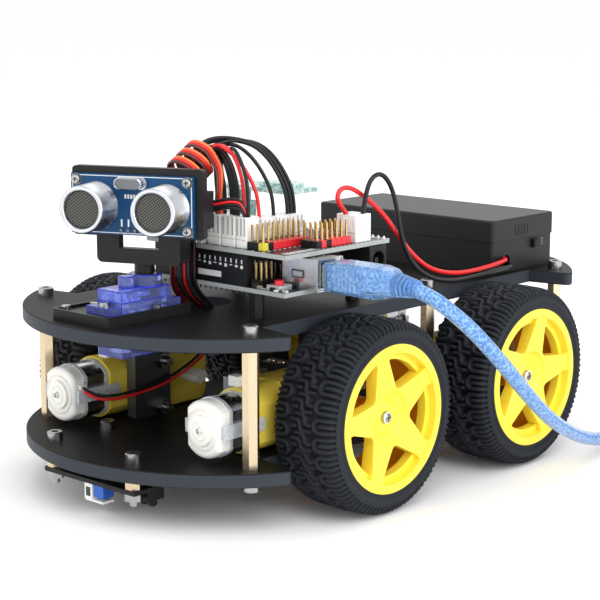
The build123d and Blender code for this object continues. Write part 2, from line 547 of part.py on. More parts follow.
def make_controller():
    board = block(BOARD_X0, BOARD_X1, BOARD_Y0, BOARD_Y1, CONTROLLER_Z, CONTROLLER_Z + PCB_T)
    board -= block(BOARD_X0 - 1, BOARD_X0 + 2.5, BOARD_Y0 - 1, BOARD_Y0 + 3,
                   CONTROLLER_Z - 1, CONTROLLER_Z + 3)
    for x, y in controller_posts():
        board -= post(1.6, x, y, CONTROLLER_Z - 1, CONTROLLER_Z + 3)
    top = CONTROLLER_Z + PCB_T
    chip = block(-2.0, 33.6, -36.0, -28.4, top, top + 4.4)
    crystal = block(36.4, 40.4, -39.5, -35.5, top, top + 3.2)
    button_x, button_y = RESET
    base = block(button_x - 3.0, button_x + 3.0, button_y - 3.0, button_y + 3.0, top, top + 1.9)
    base -= post(1.75, button_x, button_y, top + 0.6, top + 5)
    save("controller_board", board, chip, crystal, base)
    strips = [block(x0, x1, y - 1.3, y + 1.3, top, SHIELD_Z) for x0, x1, y in (
        (-14.6, 5.6, BOARD_Y0 + 2.5), (6.6, 30.8, BOARD_Y0 + 2.5), (-14.6, 3.4, BOARD_Y1 - 2.5),
        (5.2, 22.8, BOARD_Y1 - 2.5))]
    save("controller_headers", *strips)
    spacers = []
    for x, y in controller_posts():
        spacer = hexagon(4.6, (x, y, UPPER_TOP), CONTROLLER_Z - UPPER_TOP)
        spacer += post(1.45, x, y, UPPER_BOTTOM - 2.6, top + 1.9)
        spacer += hexagon(5.2, (x, y, UPPER_BOTTOM - 2.0), 2.0)
        spacer += post(1.9, x, y, top, top + 1.9)
        spacers.append(spacer)
    for x, y in DRIVER_POSTS:
        spacer = hexagon(5.0, (x, y, LOWER_TOP), 5.0) + post(1.45, x, y, LOWER_BOTTOM - 2.6, LOWER_TOP + 8.6)
        spacer += hexagon(5.2, (x, y, LOWER_BOTTOM - 2.2), 2.2)
        spacer += post(2.6, x, y, LOWER_TOP + 5.0 + PCB_T, LOWER_TOP + 8.6)
        spacers.append(spacer)
    save("board_spacers", *spacers)


def make_ports():
    top = CONTROLLER_Z + PCB_T
    x0, x1 = 39.6, 55.6
    shell = block(x0, x1, USB_Y - 6.0, USB_Y + 6.0, top, top + 10.8)
    shell -= block(x0 + 5.0, x1 + 1, USB_Y - 4.4, USB_Y + 4.4, USB_Z - 4.2, USB_Z + 4.2)
    shell += block(x0 + 4.0, x1 - 3.0, USB_Y - 2.5, USB_Y + 2.5, USB_Z - 1.4, USB_Z + 1.4)
    save("usb_socket", shell)
    jack_y = BOARD_Y1 - 7.6
    jack = block(37.4, 51.2, jack_y - 4.5, jack_y + 4.5, top, top + 10.9)
    jack -= rod(3.1, (42.0, jack_y, top + 6.0), (1, 0, 0), 12)
    jack += rod(1.0, (41.5, jack_y, top + 6.0), (1, 0, 0), 9.0)
    save("power_jack", jack)
    button_x, button_y = RESET
    save("reset_button", post(1.6, button_x, button_y, top + 1.2, top + 3.3))


def make_shield():
    board = block(BOARD_X0, BOARD_X1 + 0.8, BOARD_Y0 - 0.3, BOARD_Y1, SHIELD_Z, SHIELD_Z + PCB_T)
    board -= block(BOARD_X0 - 1, BOARD_X0 + 2.0, BOARD_Y0 - 1, BOARD_Y0 + 2, SHIELD_Z - 1, SHIELD_Z + 3)
    save("shield_board", board)
    top = SHIELD_Z + PCB_T
    pins = []
    for x, y0, count in PIN_ROWS:
        pins.append(pin_row(x, y0, count, top))
    save("shield_pins", *pins)


def pin_row(x, y0, count, top):
    """A strip of upright square pins in their plastic base, along Y."""
    pitch = 2.54
    strip = block(x - 1.2, x + 1.2, y0 - 1.2, y0 + (count - 1) * pitch + 1.2, top, top + 2.5)
    for n in range(count):
        y = y0 + n * pitch
        strip += block(x - 0.32, x + 0.32, y - 0.32, y + 0.32, top + 2.0, top + 8.6)
    return strip


def make_connectors():
    top = SHIELD_Z + PCB_T
    housings = []
    for x0, x1, y0, y1, height in (
        (11.0, 17.4, -66.6, -60.2, 10.4), (17.9, 24.3, -66.6, -60.2, 10.4), (24.8, 29.8, -66.6, -60.2, 10.4),
        (21.0, 29.0, -57.6, -51.2, 9.0), (21.0, 29.0, -50.4, -44.0, 9.0), (21.0, 29.0, -43.2, -36.8, 9.0),
        (10.0, 18.0, -57.6, -48.0, 7.0), (3.0, 9.6, -66.6, -57.0, 7.6),
    ):
        housing = block(x0, x1, y0, y1, top, top + height)
        housings.append(fillet(housing.edges().filter_by(Axis.Z), 0.5))
    power = block(39.6, 48.2, -31.4, -23.4, top, top + 9.4)
    power -= block(40.6, 41.6, -32, -30.6, top + 4, top + 10)
    power -= block(46.2, 47.2, -32, -30.6, top + 4, top + 10)
    save("wire_connectors", *housings, power)
    socket = block(-19.0, -12.0, -30.0, -18.0, top, top + 8.5)
    module = block(-22.0, 15.0, -29.0, -14.0, 103.4, 105.0)
    can = block(-2.0, 10.0, -27.0, -16.0, 105.0, 106.9)
    pins = block(-17.6, -13.4, -29.0 + 1.4, -14.0 - 5.4, top + 8.5, 103.4)
    save("wireless_module", module, can, socket + pins)


def make_driver():
    low = LOWER_TOP + 5.0
    board = block(-21.5, 21.5, -21.5, 21.5, low, low + PCB_T)
    for x, y in DRIVER_POSTS:
        board -= post(1.6, x, y, low - 1, low + 3)
    top = low + PCB_T
    chip = block(-9.8, 9.8, 2.6, 7.0, top, top + 20.0)
    terminals = [block(sx * 17.4 - 4.0, sx * 17.4 + 4.0, -9.0, 1.4, top, top + 9.8) for sx in (-1, 1)]
    terminals.append(block(-7.6, 7.6, -21.4, -13.4, top, top + 9.8))
    sink = block(-11.5, 11.5, 7.0, 8.8, top + 0.4, top + 24.0)
    for n in range(6):
        x = -11.5 + n * 4.36
        sink += block(x, x + 1.2, 8.6, 18.0, top + 0.4, top + 24.0)
    save("driver_board", board, chip, sink, *terminals)


def make_line_sensor():
    z = SENSOR_Z
    board = block(-26.4, 20.0, -110.4, -97.0, z, z + PCB_T)
    board += block(-26.4, -16.4, -98.0, -82.4, z, z + PCB_T)
    for x, y in SENSOR_SCREWS:
        board -= post(1.6, x, y, z - 1, z + 3)
    trimmer = block(-6.0, 3.4, -110.2, -104.4, 4.2, z)
    emitter = block(11.6, 19.6, -104.0, -96.2, 4.6, z)
    save("line_sensor", board, trimmer, emitter)


# ---------------------------------------------------------------- battery box

def make_battery():
    x0, x1, y0, y1 = BOX_X0, BOX_X1, BOX_Y0, BOX_Y1
    w = BOX_WALL
    base = block(x0, x1, y0, y1, UPPER_TOP, BOX_SEAM)
    base = fillet(base.edges().filter_by(Axis.Z), 2.0)
    base -= block(x0 + w, x1 - w, y0 + w, y1 - w, UPPER_TOP + w, BOX_SEAM + 1)
    base -= block(x1 - 5, x1 + 1, SWITCH_Y - 4.6, SWITCH_Y + 4.6, SWITCH_Z - 2.0, SWITCH_Z + 2.0)
    base -= rod(2.4, (x1 - 5, LEAD_HOLE_Y, LEAD_HOLE_Z), (1, 0, 0), 8)
    base += block(x1 - 14.5, x1 - 13.5, y0 + 1, y1 - 1, UPPER_TOP + 1, BOX_SEAM - 1)
    for x, y in BOX_SCREWS:
        base -= post(1.6, x, y, UPPER_TOP - 1, UPPER_TOP + 4)
    save("battery_box", base)
    lid = block(x0 - 0.4, x1 + 0.4, y0 - 0.4, y1 + 0.4, BOX_SEAM + 0.15, BOX_TOP)
    lid = fillet(lid.edges().filter_by(Axis.Z), 2.2)
    lid = fillet(lid.faces().sort_by(Axis.Z)[-1].edges(), 0.9)
    lid -= block(x0 + w, x1 - w, y0 + w, y1 - w, BOX_SEAM - 1, BOX_TOP - w)
    save("battery_lid", lid)
    cells = []
    cell_z = UPPER_TOP + w + 0.3 + CELL_R
    for y in (y0 + w + 0.6 + CELL_R, y1 - w - 0.6 - CELL_R):
        cell = rod(CELL_R, (x0 + 6.6, y, cell_z), (1, 0, 0), CELL_L)
        cells.append(cell + rod(2.6, (x0 + 6.6 + CELL_L, y, cell_z), (1, 0, 0), 1.2))
    save("battery_cells", *cells)
    knob = block(x1 - 3.0, x1 + 1.6, SWITCH_Y - 4.2, SWITCH_Y - 0.2, SWITCH_Z - 1.7, SWITCH_Z + 1.7)
    save("power_switch", knob)


# ---------------------------------------------------------------- cords

def make_usb():
    x = 57.4
    tip = block(44.9 + 0.3, x + 1, USB_Y - 4.1, USB_Y + 4.1, USB_Z - 3.9, USB_Z + 3.9)
    tip -= block(44.0, 56.0, USB_Y - 2.8, USB_Y + 2.8, USB_Z - 1.8, USB_Z + 1.8)
    body = block(x, 84.6, USB_Y - 6.0, USB_Y + 6.0, USB_Z - 5.6, USB_Z + 5.2)
    body = chamfer(body.edges().filter_by(Axis.X), 1.2)
    body = chamfer(body.faces().sort_by(Axis.X)[-1].edges(), 1.8)
    relief = Plane(origin=(84.0, USB_Y, USB_Z - 0.2), z_dir=(1, 0, -0.03)) * Cone(
        4.4, 2.9, 5.0, align=(Align.CENTER, Align.CENTER, Align.MIN))
    save("usb_plug", tip + body + relief)
    save("usb_cable", cord("usb_cable", USB_ROUTE, USB_D))
    ring = Pos(COIL_X, COIL_Y, 0) * extrude(Circle(COIL_R + COIL_TUBE) - Circle(COIL_R - COIL_TUBE), COIL_H)
    entry = block(COIL_X - COIL_R - 5, COIL_X - COIL_R + 5, COIL_Y - 30, COIL_Y, -1, COIL_H + 1)
    save("usb_coil", ring - entry)
    plug_x = COIL_X + COIL_R
    plug = block(plug_x - 6.0, plug_x + 6.0, COIL_Y - 60.0, COIL_Y - 32.0, 0.0, 8.0)
    plug = chamfer(plug.edges().filter_by(Axis.Y), 1.2)
    plug += block(plug_x - 6.0 + 0.1, plug_x + 6.0 - 0.1, COIL_Y - 74.0, COIL_Y - 59.0, 1.8, 6.2)
    plug += rod(USB_D / 2, (plug_x, COIL_Y - 32.5, 4.0), (0, 1, 0), 17.0)
    save("usb_end_plug", plug)


def make_leads():
    save("battery_lead_red", cord("battery_lead_red", RED_ROUTE, LEAD_D))
    save("battery_lead_black", cord("battery_lead_black", BLACK_ROUTE, LEAD_D))
    save("harness_front", cord("harness_front", FRONT_ROUTE, HARNESS_D))
    save("harness_rear", cord("harness_rear", REAR_ROUTE, HARNESS_D))
    inner, outer = SERVO_COIL_R
    start = Plane(origin=SERVO_COIL, z_dir=SERVO_COIL_ALONG)
    coil = start * extrude(Circle(outer) - Circle(inner), SERVO_COIL_L)
    save("servo_lead", cord("servo_lead", SERVO_ROUTE, SERVO_LEAD_D))
    save("servo_lead_coil", coil)
    save("sonar_lead", cord("sonar_lead", SONAR_ROUTE, SONAR_LEAD_D))
    lead = cord("motor_lead", MOTOR_ROUTE, MOTOR_LEAD_D)
    save("motor_leads", *[flip(lead, sx, sy) for sx, sy, _ in WHEELS.values()])


os.makedirs("parts", exist_ok=True)
make_lower_plate()
make_upper_plate()
make_standoffs()
make_deck_screws()
make_wheels()
make_motors()
make_servo()
make_tray()
make_head()
make_controller()
make_ports()
make_shield()
make_connectors()
make_driver()
make_line_sensor()
make_battery()
make_usb()
make_leads()
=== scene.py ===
import math

import bpy
import numpy as np
from mathutils import Matrix, Vector


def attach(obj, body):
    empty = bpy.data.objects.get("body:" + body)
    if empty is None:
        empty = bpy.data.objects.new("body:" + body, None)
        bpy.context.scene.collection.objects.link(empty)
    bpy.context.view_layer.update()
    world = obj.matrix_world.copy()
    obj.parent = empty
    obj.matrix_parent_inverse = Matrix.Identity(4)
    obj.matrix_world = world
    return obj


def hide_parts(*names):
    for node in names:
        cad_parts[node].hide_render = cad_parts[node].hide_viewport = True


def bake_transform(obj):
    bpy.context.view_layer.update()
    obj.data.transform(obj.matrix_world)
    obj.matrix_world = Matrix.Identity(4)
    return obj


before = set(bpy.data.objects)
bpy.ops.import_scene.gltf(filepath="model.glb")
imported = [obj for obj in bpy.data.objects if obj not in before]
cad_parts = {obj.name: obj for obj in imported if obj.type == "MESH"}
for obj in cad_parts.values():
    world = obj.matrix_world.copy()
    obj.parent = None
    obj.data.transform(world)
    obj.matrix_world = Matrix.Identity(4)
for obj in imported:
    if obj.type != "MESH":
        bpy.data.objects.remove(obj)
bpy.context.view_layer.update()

MM = 0.001

# The camera, in millimetres and degrees: how far round from the front it stands and how far up it looks from.
CAMERA_AT = (415.85, -464.27, 176.61)
CAMERA_ROUND, CAMERA_UP = 42.28, 10.66
CAMERA_LENS = 99.7

# The head: where its servo turns it, and how far it is turned at rest.
PIVOT = (0.0, -85.8)
HEAD_TURN = 22.76

# The wheels and motors: axle height and distance, tyre and rim.
AXLE_Y, AXLE_Z = 41.5, 33.6
TYRE_OUT = 74.6
TYRE_W = 26.5
TYRE_R = 33.6
RIM_R = 25.8
CORNERS = {"fl": (1, -1), "fr": (-1, -1), "rl": (1, 1), "rr": (-1, 1)}
TREAD_CELLS = 32
MOTOR_X = 36.4

GAUZE_PITCH = 0.00078
SHIELD_TOP = 89.9
CONTROLLER_TOP = 77.1


# Materials

class Surface:
    """A material with its shader, to which noise, bumps and patterns are added."""

    def __init__(self, name, color, rough=0.5, metal=0.0, gloss=0.5):
        self.material = bpy.data.materials.new(name)
        self.material.use_nodes = True
        self.tree = self.material.node_tree
        self.shader = self.tree.nodes["Principled BSDF"]
        self.color = (*color, 1.0)
        self.shader.inputs["Base Color"].default_value = self.color
        self.shader.inputs["Roughness"].default_value = rough
        self.shader.inputs["Metallic"].default_value = metal
        self.shader.inputs["Specular IOR Level"].default_value = gloss

    def node(self, kind, **values):
        """A new node with some of its inputs set."""
        made = self.tree.nodes.new(kind)
        for key, value in values.items():
            made.inputs[key.replace("_", " ")].default_value = value
        return made

    def link(self, a, out, b, into):
        self.tree.links.new(a.outputs[out], b.inputs[into])

    def noise(self, scale, detail=3.0):
        made = self.node("ShaderNodeTexNoise", Scale=scale, Detail=detail)
        self.link(self.node("ShaderNodeTexCoord"), "Object", made, "Vector")
        return made

    def math(self, operation, source, out, other=None):
        """A Math node on one value, with a number or another Math node as its second."""
        made = self.node("ShaderNodeMath")
        made.operation = operation
        self.link(source, out, made, 0)
        if isinstance(other, float):
            made.inputs[1].default_value = other
        elif other is not None:
            self.link(other, 0, made, 1)
        return made

    def bump(self, source, out, strength, distance=0.0002):
        made = self.node("ShaderNodeBump", Strength=strength, Distance=distance)
        self.link(source, out, made, "Height")
        self.link(made, "Normal", self.shader, "Normal")
        return self

    def grain(self, scale, strength, distance=0.0002):
        """A fine moulded or cast grain."""
        return self.bump(self.noise(scale), "Fac", strength, distance)

    def mottle(self, scale, low, high, socket="Roughness"):
        """A value that varies softly over the surface."""
        ranged = self.node("ShaderNodeMapRange", To_Min=low, To_Max=high)
        self.link(self.noise(scale), "Fac", ranged, "Value")
        self.link(ranged, "Result", self.shader, socket)
        return self

    def ramp(self, source, out, first, last, low, high):
        """Colours the surface by a value: the first colour below low, the last above high."""
        made = self.node("ShaderNodeValToRGB")
        for end, color, at in zip(made.color_ramp.elements, (first, last), (low, high)):
            end.position = at
            end.color = color
        self.link(source, out, made, "Fac")
        self.link(made, "Color", self.shader, "Base Color")
        return self

    def tint(self, scale, other, low, high):
        """A colour that varies between this one and another."""
        return self.ramp(self.noise(scale), "Fac", self.color, (*other, 1.0), low, high)

    def shaded(self, source, out, other, low, high):
        """Goes from another colour, below low, to this one, above high."""
        return self.ramp(source, out, (*other, 1.0), self.color, low, high)

    def edged(self, edge):
        """A sheet cut from a board: its sides, up to the top and bottom faces, take another colour."""
        parts = self.node("ShaderNodeSeparateXYZ")
        self.link(self.node("ShaderNodeNewGeometry"), "Normal", parts, "Vector")
        return self.shaded(self.math("ABSOLUTE", parts, "Z"), 0, edge, 0.55, 0.75)

    def clear(self, amount, ior=1.45):
        """Lets light through."""
        self.shader.inputs["Transmission Weight"].default_value = amount
        self.shader.inputs["IOR"].default_value = ior
        return self


def make_materials():
    """Every finish on the model, by name."""
    m = {
        "plate": Surface("black-acrylic", (0.007, 0.007, 0.007), 0.48, gloss=0.12).edged((0.036, 0.042, 0.052)),
        "tyre": rubber(),
        "rim": wheel_yellow(),
        "nylon": Surface("white-nylon", (0.86, 0.85, 0.80), 0.40).grain(700, 0.06),
        "gearbox": Surface("gearbox-plastic", (0.80, 0.62, 0.07), 0.34).mottle(120, 0.28, 0.42),
        "steel": Surface("plated-steel", (0.46, 0.47, 0.48), 0.28, 1.0).mottle(260, 0.18, 0.34),
        # Aluminium given a dark colour that stands in for its shade; the bare motor brackets, the crystal's front
        # face and the sensor's pins and pads take it.
        "shaded_alu": Surface("aluminium", (0.17, 0.18, 0.19), 0.42, 1.0).grain(900, 0.12),
        "screw": Surface("nickel", (0.40, 0.40, 0.40), 0.24, 1.0).mottle(500, 0.16, 0.32),
        "brass": Surface("brass", (0.68, 0.55, 0.38), 0.30, 1.0).mottle(300, 0.20, 0.34),
        "gold": Surface("gold-plated-pins", (0.66, 0.48, 0.22), 0.26, 1.0).mottle(800, 0.2, 0.32),
        "solder": Surface("solder", (0.62, 0.62, 0.63), 0.30, 0.9).mottle(1200, 0.2, 0.45),
        "board": Surface("black-solder-mask", (0.010, 0.011, 0.013), 0.36, gloss=0.3).edged((0.36, 0.38, 0.38)),
        "header": Surface("black-plastic", (0.009, 0.009, 0.010), 0.40, gloss=0.25).grain(1200, 0.08),
        "red": Surface("red-plastic", (0.72, 0.020, 0.03), 0.36).mottle(700, 0.3, 0.42),
        "yellow": Surface("yellow-base", (0.66, 0.60, 0.05), 0.4).mottle(700, 0.34, 0.46),
        # Dark grey sheets painted into slots, holes and openings as their shade; also the colour of some small parts
        # on the controller.
        "connector": Surface("white-connector", (0.90, 0.90, 0.88), 0.40).grain(900, 0.05),
        "recess": Surface("painted-recess-shade-and-dark-parts", (0.06, 0.06, 0.06), 0.7).grain(900, 0.05),
        "groove": Surface("shaded-groove", (0.42, 0.42, 0.41), 0.6).grain(900, 0.05),
        "module": Surface("teal-board", (0.20, 0.42, 0.40), 0.35).tint(700, (0.62, 0.70, 0.66), 0.46, 0.56),
        "driver": Surface("red-board", (0.22, 0.010, 0.008), 0.35).edged((0.30, 0.12, 0.07)),
        "terminal": Surface("blue-terminal", (0.02, 0.12, 0.55), 0.38).grain(900, 0.05),
        "bracket": Surface("satin-black", (0.009, 0.009, 0.010), 0.42, gloss=0.25).mottle(200, 0.34, 0.46),
        "sonar": Surface("blue-board", (0.001, 0.052, 0.150), 0.36, gloss=0.25).mottle(400, 0.28, 0.4),
        "ink": Surface("white-print", (0.75, 0.77, 0.78), 0.5).grain(2500, 0.1),
        "can": Surface("drawn-aluminium", (0.60, 0.62, 0.65), 0.24, 1.0).mottle(180, 0.20, 0.36),
        "box": Surface("grained-black", (0.012, 0.012, 0.013), 0.46, gloss=0.3).grain(2600, 0.5, 0.00012),
        "cell": Surface("cell-sleeve", (0.04, 0.20, 0.45), 0.35).mottle(300, 0.3, 0.4),
        "lead_red": Surface("red-insulation", (0.72, 0.012, 0.014), 0.32).mottle(600, 0.26, 0.4),
        "lead_black": Surface("black-insulation", (0.009, 0.010, 0.012), 0.34, gloss=0.3).mottle(600, 0.26, 0.4),
        "lead_orange": Surface("orange-insulation", (0.92, 0.20, 0.055), 0.36).mottle(600, 0.3, 0.42),
        "lead_brown": Surface("brown-insulation", (0.12, 0.028, 0.02), 0.36).mottle(600, 0.3, 0.42),
        "strap": Surface("clear-strap", (0.80, 0.84, 0.88), 0.25).clear(0.45, 1.3).mottle(300, 0.2, 0.35),
        "shell": Surface("servo-shell", (0.36, 0.44, 0.98), 0.12).clear(0.80, 1.25).mottle(200, 0.1, 0.22),
        # Dark blue for painted shade along the servo shell's edges, and for two bands round it.
        "shell_bands_and_edge_shade": Surface("servo-shell-bands-and-edge-shade", (0.025, 0.035, 0.55), 0.2).mottle(200, 0.14, 0.3),
        "inside": Surface("servo-inside", (0.78, 0.84, 1.0), 0.45).tint(330, (0.22, 0.30, 0.85), 0.47, 0.56),
        "usb": Surface("blue-vinyl", (0.36, 0.63, 0.98), 0.12).clear(0.80, 1.3).mottle(300, 0.1, 0.2),
        "braid": braid(),
        "gauze": gauze(),
    }
    return {name: surface.material for name, surface in m.items()}


def rubber():
    """Tyre rubber, with painted shade that darkens it down in the tread's grooves."""
    s = Surface("tyre-rubber", (0.011, 0.0135, 0.019), 0.62, gloss=0.25).grain(1500, 0.15)
    # Painted shade: a tread-height attribute, 0 in the grooves, darkens the rubber there.
    groove_shade = s.node("ShaderNodeAttribute")
    groove_shade.attribute_name = "groove_shade"
    return s.shaded(groove_shade, "Fac", (0.004, 0.004, 0.005), 0.1, 0.9)


def wheel_yellow():
    """Translucent yellow plastic, with painted shade that turns it orange towards the wheel's inner side, down in its
    barrel.
    """
    s = Surface("yellow-plastic", (0.97, 0.75, 0.055), 0.34).mottle(90, 0.28, 0.42)
    # Painted shade: by distance along the axle, from yellow at the outer face to orange deep in the barrel.
    parts = s.node("ShaderNodeSeparateXYZ")
    s.link(s.node("ShaderNodeTexCoord"), "Object", parts, "Vector")
    barrel_shade = s.node("ShaderNodeMapRange", From_Min=0.0655, From_Max=0.0680)
    s.link(s.math("ABSOLUTE", parts, "X"), 0, barrel_shade, "Value")
    return s.shaded(barrel_shade, "Result", (0.90, 0.36, 0.008), 0.0, 1.0)


def braid():
    """Fine wires under the cable's jacket: bright strands that cross over blue ones."""
    s = Surface("braided-shield", (0.165, 0.33, 0.68), 0.35, 0.3)
    return s.tint(1100, (0.95, 0.97, 1.0), 0.46, 0.56).grain(2400, 0.6, 0.0004)


def gauze():
    """Woven wire: a square grid of bright wires over dark holes."""
    s = Surface("wire-gauze", (0.14, 0.135, 0.125), 0.5, 0.3, gloss=0.2)
    parts, turned = s.node("ShaderNodeSeparateXYZ"), s.node("ShaderNodeMapping")
    turned.inputs["Rotation"].default_value = (0.0, math.radians(38), math.radians(-HEAD_TURN))
    s.link(s.node("ShaderNodeTexCoord"), "Object", turned, "Vector")
    s.link(turned, "Vector", parts, "Vector")
    waves = [s.math("SINE", s.math("MULTIPLY", parts, axis, 2 * math.pi / GAUZE_PITCH), 0) for axis in ("X", "Z")]
    wires = s.math("MAXIMUM", waves[0], 0, waves[1])
    return s.ramp(wires, 0, (0.003, 0.003, 0.003, 1), (0.135, 0.130, 0.120, 1), 0.15, 0.85)


# Shapes

def placed(name, data):
    """A new object in the scene."""
    obj = bpy.data.objects.new(name, data)
    bpy.context.scene.collection.objects.link(obj)
    return obj


def band(count, sides):
    """The faces between that many rings of points."""
    return [(i * sides + k, i * sides + (k + 1) % sides, (i + 1) * sides + (k + 1) % sides, (i + 1) * sides + k)
            for i in range(count - 1) for k in range(sides)]


def lids(count, sides):
    """The faces that close the first ring and the last."""
    return [tuple(range(sides))[::-1], tuple((count - 1) * sides + k for k in range(sides))]


class Shape:
    """Collects simple solids, in millimetres, into one mesh with several materials."""

    def __init__(self, name):
        self.name = name
        self.points, self.faces, self.slots, self.smooth = [], [], [], []
        self.materials = []

    def slot(self, material):
        if material not in self.materials:
            self.materials.append(material)
        return self.materials.index(material)

    def add(self, points, faces, material, smooth=False):
        first = len(self.points)
        self.points += [tuple(p) for p in points]
        self.faces += [tuple(first + i for i in f) for f in faces]
        self.slots += [self.slot(material)] * len(faces)
        self.smooth += [smooth] * len(faces)

    def block(self, x0, x1, y0, y1, z0, z1, material):
        """A box between two places on each axis."""
        p = [(x, y, z) for x in (x0, x1) for y in (y0, y1) for z in (z0, z1)]
        f = [(0, 1, 3, 2), (4, 6, 7, 5), (0, 4, 5, 1), (2, 3, 7, 6), (0, 2, 6, 4), (1, 5, 7, 3)]
        self.add(p, f, material)

    def rings(self, stations, material, sides=24, axis=(0, 0, 1), at=(0, 0, 0), caps=True):
        """A turned solid: stations are (distance along the axis, radius)."""
        turn = Vector((0, 0, 1)).rotation_difference(Vector(axis)).to_matrix()
        p = []
        for along, r in stations:
            for k in range(sides):
                a = 2 * math.pi * k / sides
                p.append(turn @ Vector((r * math.cos(a), r * math.sin(a), along)) + Vector(at))
        self.add(p, band(len(stations), sides), material, smooth=True)
        if caps:
            self.add(p, lids(len(stations), sides), material)

    def rod(self, r, at, axis, length, material, sides=24):
        """A plain round bar with both ends closed."""
        self.rings([(0, r), (length, r)], material, sides, axis, at)

    def tube(self, points, r, material, sides=10):
        """A round wire along points that are already close together."""
        pts = [Vector(p) for p in points]
        frame_x = None
        p = []
        for i, at in enumerate(pts):
            ahead = (pts[min(i + 1, len(pts) - 1)] - pts[max(i - 1, 0)]).normalized()
            if frame_x is None:
                frame_x = ahead.orthogonal().normalized()
            frame_x = (frame_x - ahead * frame_x.dot(ahead)).normalized()
            frame_y = ahead.cross(frame_x)
            for k in range(sides):
                a = 2 * math.pi * k / sides
                p.append(at + (frame_x * math.cos(a) + frame_y * math.sin(a)) * r)
        self.add(p, band(len(pts), sides), material, smooth=True)
        self.add(p, lids(len(pts), sides), material)

    def done(self, body, *nodes, move=None, bevel=0.0):
        """The finished object, riding on a body and standing for some CAD nodes."""
        mesh = bpy.data.meshes.new(self.name)
        points = [Vector(p) * MM for p in self.points]
        if move is not None:
            points = [move @ p for p in points]
        mesh.from_pydata(points, [], self.faces)
        for material in self.materials:
            mesh.materials.append(material)
        mesh.polygons.foreach_set("material_index", self.slots)
        mesh.polygons.foreach_set("use_smooth", self.smooth)
        mesh.update()
        obj = placed(self.name, mesh)
        if bevel:
            soften(obj, bevel)
        if body:
            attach(obj, body)
        if nodes:
            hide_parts(*nodes)
        return obj


def soften(obj, width):
    """A narrow rounded edge all over."""
    edge = obj.modifiers.new("edge", "BEVEL")
    edge.width = width * MM
    edge.segments = 2
    edge.limit_method = "ANGLE"
    edge.angle_limit = math.radians(40)


def smooth_line(points, step=24):
    """Points along the quadratic spline that this control line gives, ends included."""
    pts = [Vector(p) for p in points]
    line = []
    mids = [pts[0]] + [(a + b) / 2 for a, b in zip(pts[1:-2], pts[2:-1])] + [pts[-1]]
    for k, control in enumerate(pts[1:-1]):
        a, b = mids[k], mids[k + 1]
        for s in range(step):
            t = s / step
            line.append(a * (1 - t) ** 2 + control * 2 * t * (1 - t) + b * t**2)
    return line + [pts[-1]]


def line_length(line):
    """The length of a line of points."""
    return sum((b - a).length for a, b in zip(line, line[1:]))


def wire(name, points, diameter, material, body="chassis", *nodes):
    """A round cord as a curve along control points in millimetres, and its length in metres."""
    data = bpy.data.curves.new(name, "CURVE")
    data.dimensions = "3D"
    data.bevel_depth = diameter / 2 * MM
    data.bevel_resolution = 4
    data.resolution_u = 10
    data.use_fill_caps = True
    spline = data.splines.new("NURBS")
    spline.points.add(len(points) - 1)
    for point, at in zip(spline.points, points):
        point.co = (at[0] * MM, at[1] * MM, at[2] * MM, 1.0)
    spline.order_u = 3
    spline.use_endpoint_u = True
    if material:
        data.materials.append(material)
    obj = placed(name, data)
    if body:
        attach(obj, body)
    if nodes:
        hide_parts(*nodes)
    return obj, line_length(smooth_line(points)) * MM


def held_wire(name, points, diameter, material, *nodes):
    """A wire with both ends in the object."""
    obj, length = wire(name, points, diameter, material, "chassis", *nodes)


def paint(m):
    """Gives each CAD node that is shown as it is its finish."""
    finishes = {
        "plate": ["lower_plate", "upper_plate"],
        "bracket": ["servo_tray", "sensor_bracket"],
        "brass": ["standoffs"],
        "screw": ["deck_screws", "bracket_screws", "servo_screws", "sonar_screws"],
        # The bare aluminium brackets take the darkened aluminium, which stands in for their shade.
        "shaded_alu": ["motor_brackets"],
        "steel": ["motor_cans", "usb_socket"],
        "nylon": ["motor_end_caps"] + ["axle_" + c for c in CORNERS],
        "rim": ["rim_" + c for c in CORNERS],
        "gearbox": ["gearbox_" + c for c in CORNERS],
        "header": ["controller_headers", "power_jack", "board_spacers", "servo_output"],
        "red": ["reset_button"],
        "connector": ["wire_connectors"],
        "module": ["wireless_module"],
        "box": ["battery_box", "battery_lid", "power_switch"],
        "cell": ["battery_cells"],
    }
    for finish, names in finishes.items():
        for name in names:
            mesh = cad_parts[name].data
            mesh.materials.clear()
            mesh.materials.append(m[finish])


# Tyres

# One cell of the tread, in millimetres: across from the outer shoulder, along the circumference.
TREAD_LINES = [
    [(0.9, 0.8), (6.0, 0.8), (7.3, 1.9), (7.3, 4.0), (6.0, 5.1), (0.9, 5.1)],
    [(0.9, 2.95), (4.8, 2.95)],
    [(9.2, 0.5), (12.4, 0.5), (13.3, 1.4), (13.3, 3.0), (14.2, 3.9), (17.3, 3.9)],
    [(9.2, 2.7), (10.6, 2.7), (11.4, 3.5), (11.4, 5.1), (12.3, 6.0), (15.2, 6.0)],
    [(15.4, 1.6), (17.2, 1.6)],
    [(25.6, 4.1), (20.5, 4.1), (19.2, 5.2), (19.2, 7.3), (20.5, 8.4), (25.6, 8.4)],
    [(25.6, 6.25), (21.7, 6.25)],
]


def tread_height(across, along, pitch):
    """1 on the tread's ribs and 0 in its grooves, for arrays of places on it."""
    nearest = np.full(across.shape, 1e9)
    for line in TREAD_LINES:
        for a, b in zip(line, line[1:]):
            for shift in (-pitch, 0, pitch):
                ax, ay = a[0], a[1] * pitch / 6.6 + shift
                bx, by = b[0], b[1] * pitch / 6.6 + shift
                dx, dy = bx - ax, by - ay
                t = ((across - ax) * dx + (along - ay) * dy) / (dx * dx + dy * dy)
                t = np.clip(t, 0, 1)
                gap = np.hypot(across - ax - t * dx, along - ay - t * dy)
                nearest = np.minimum(nearest, gap)
    return np.clip((0.88 - nearest) / 0.32, 0, 1)


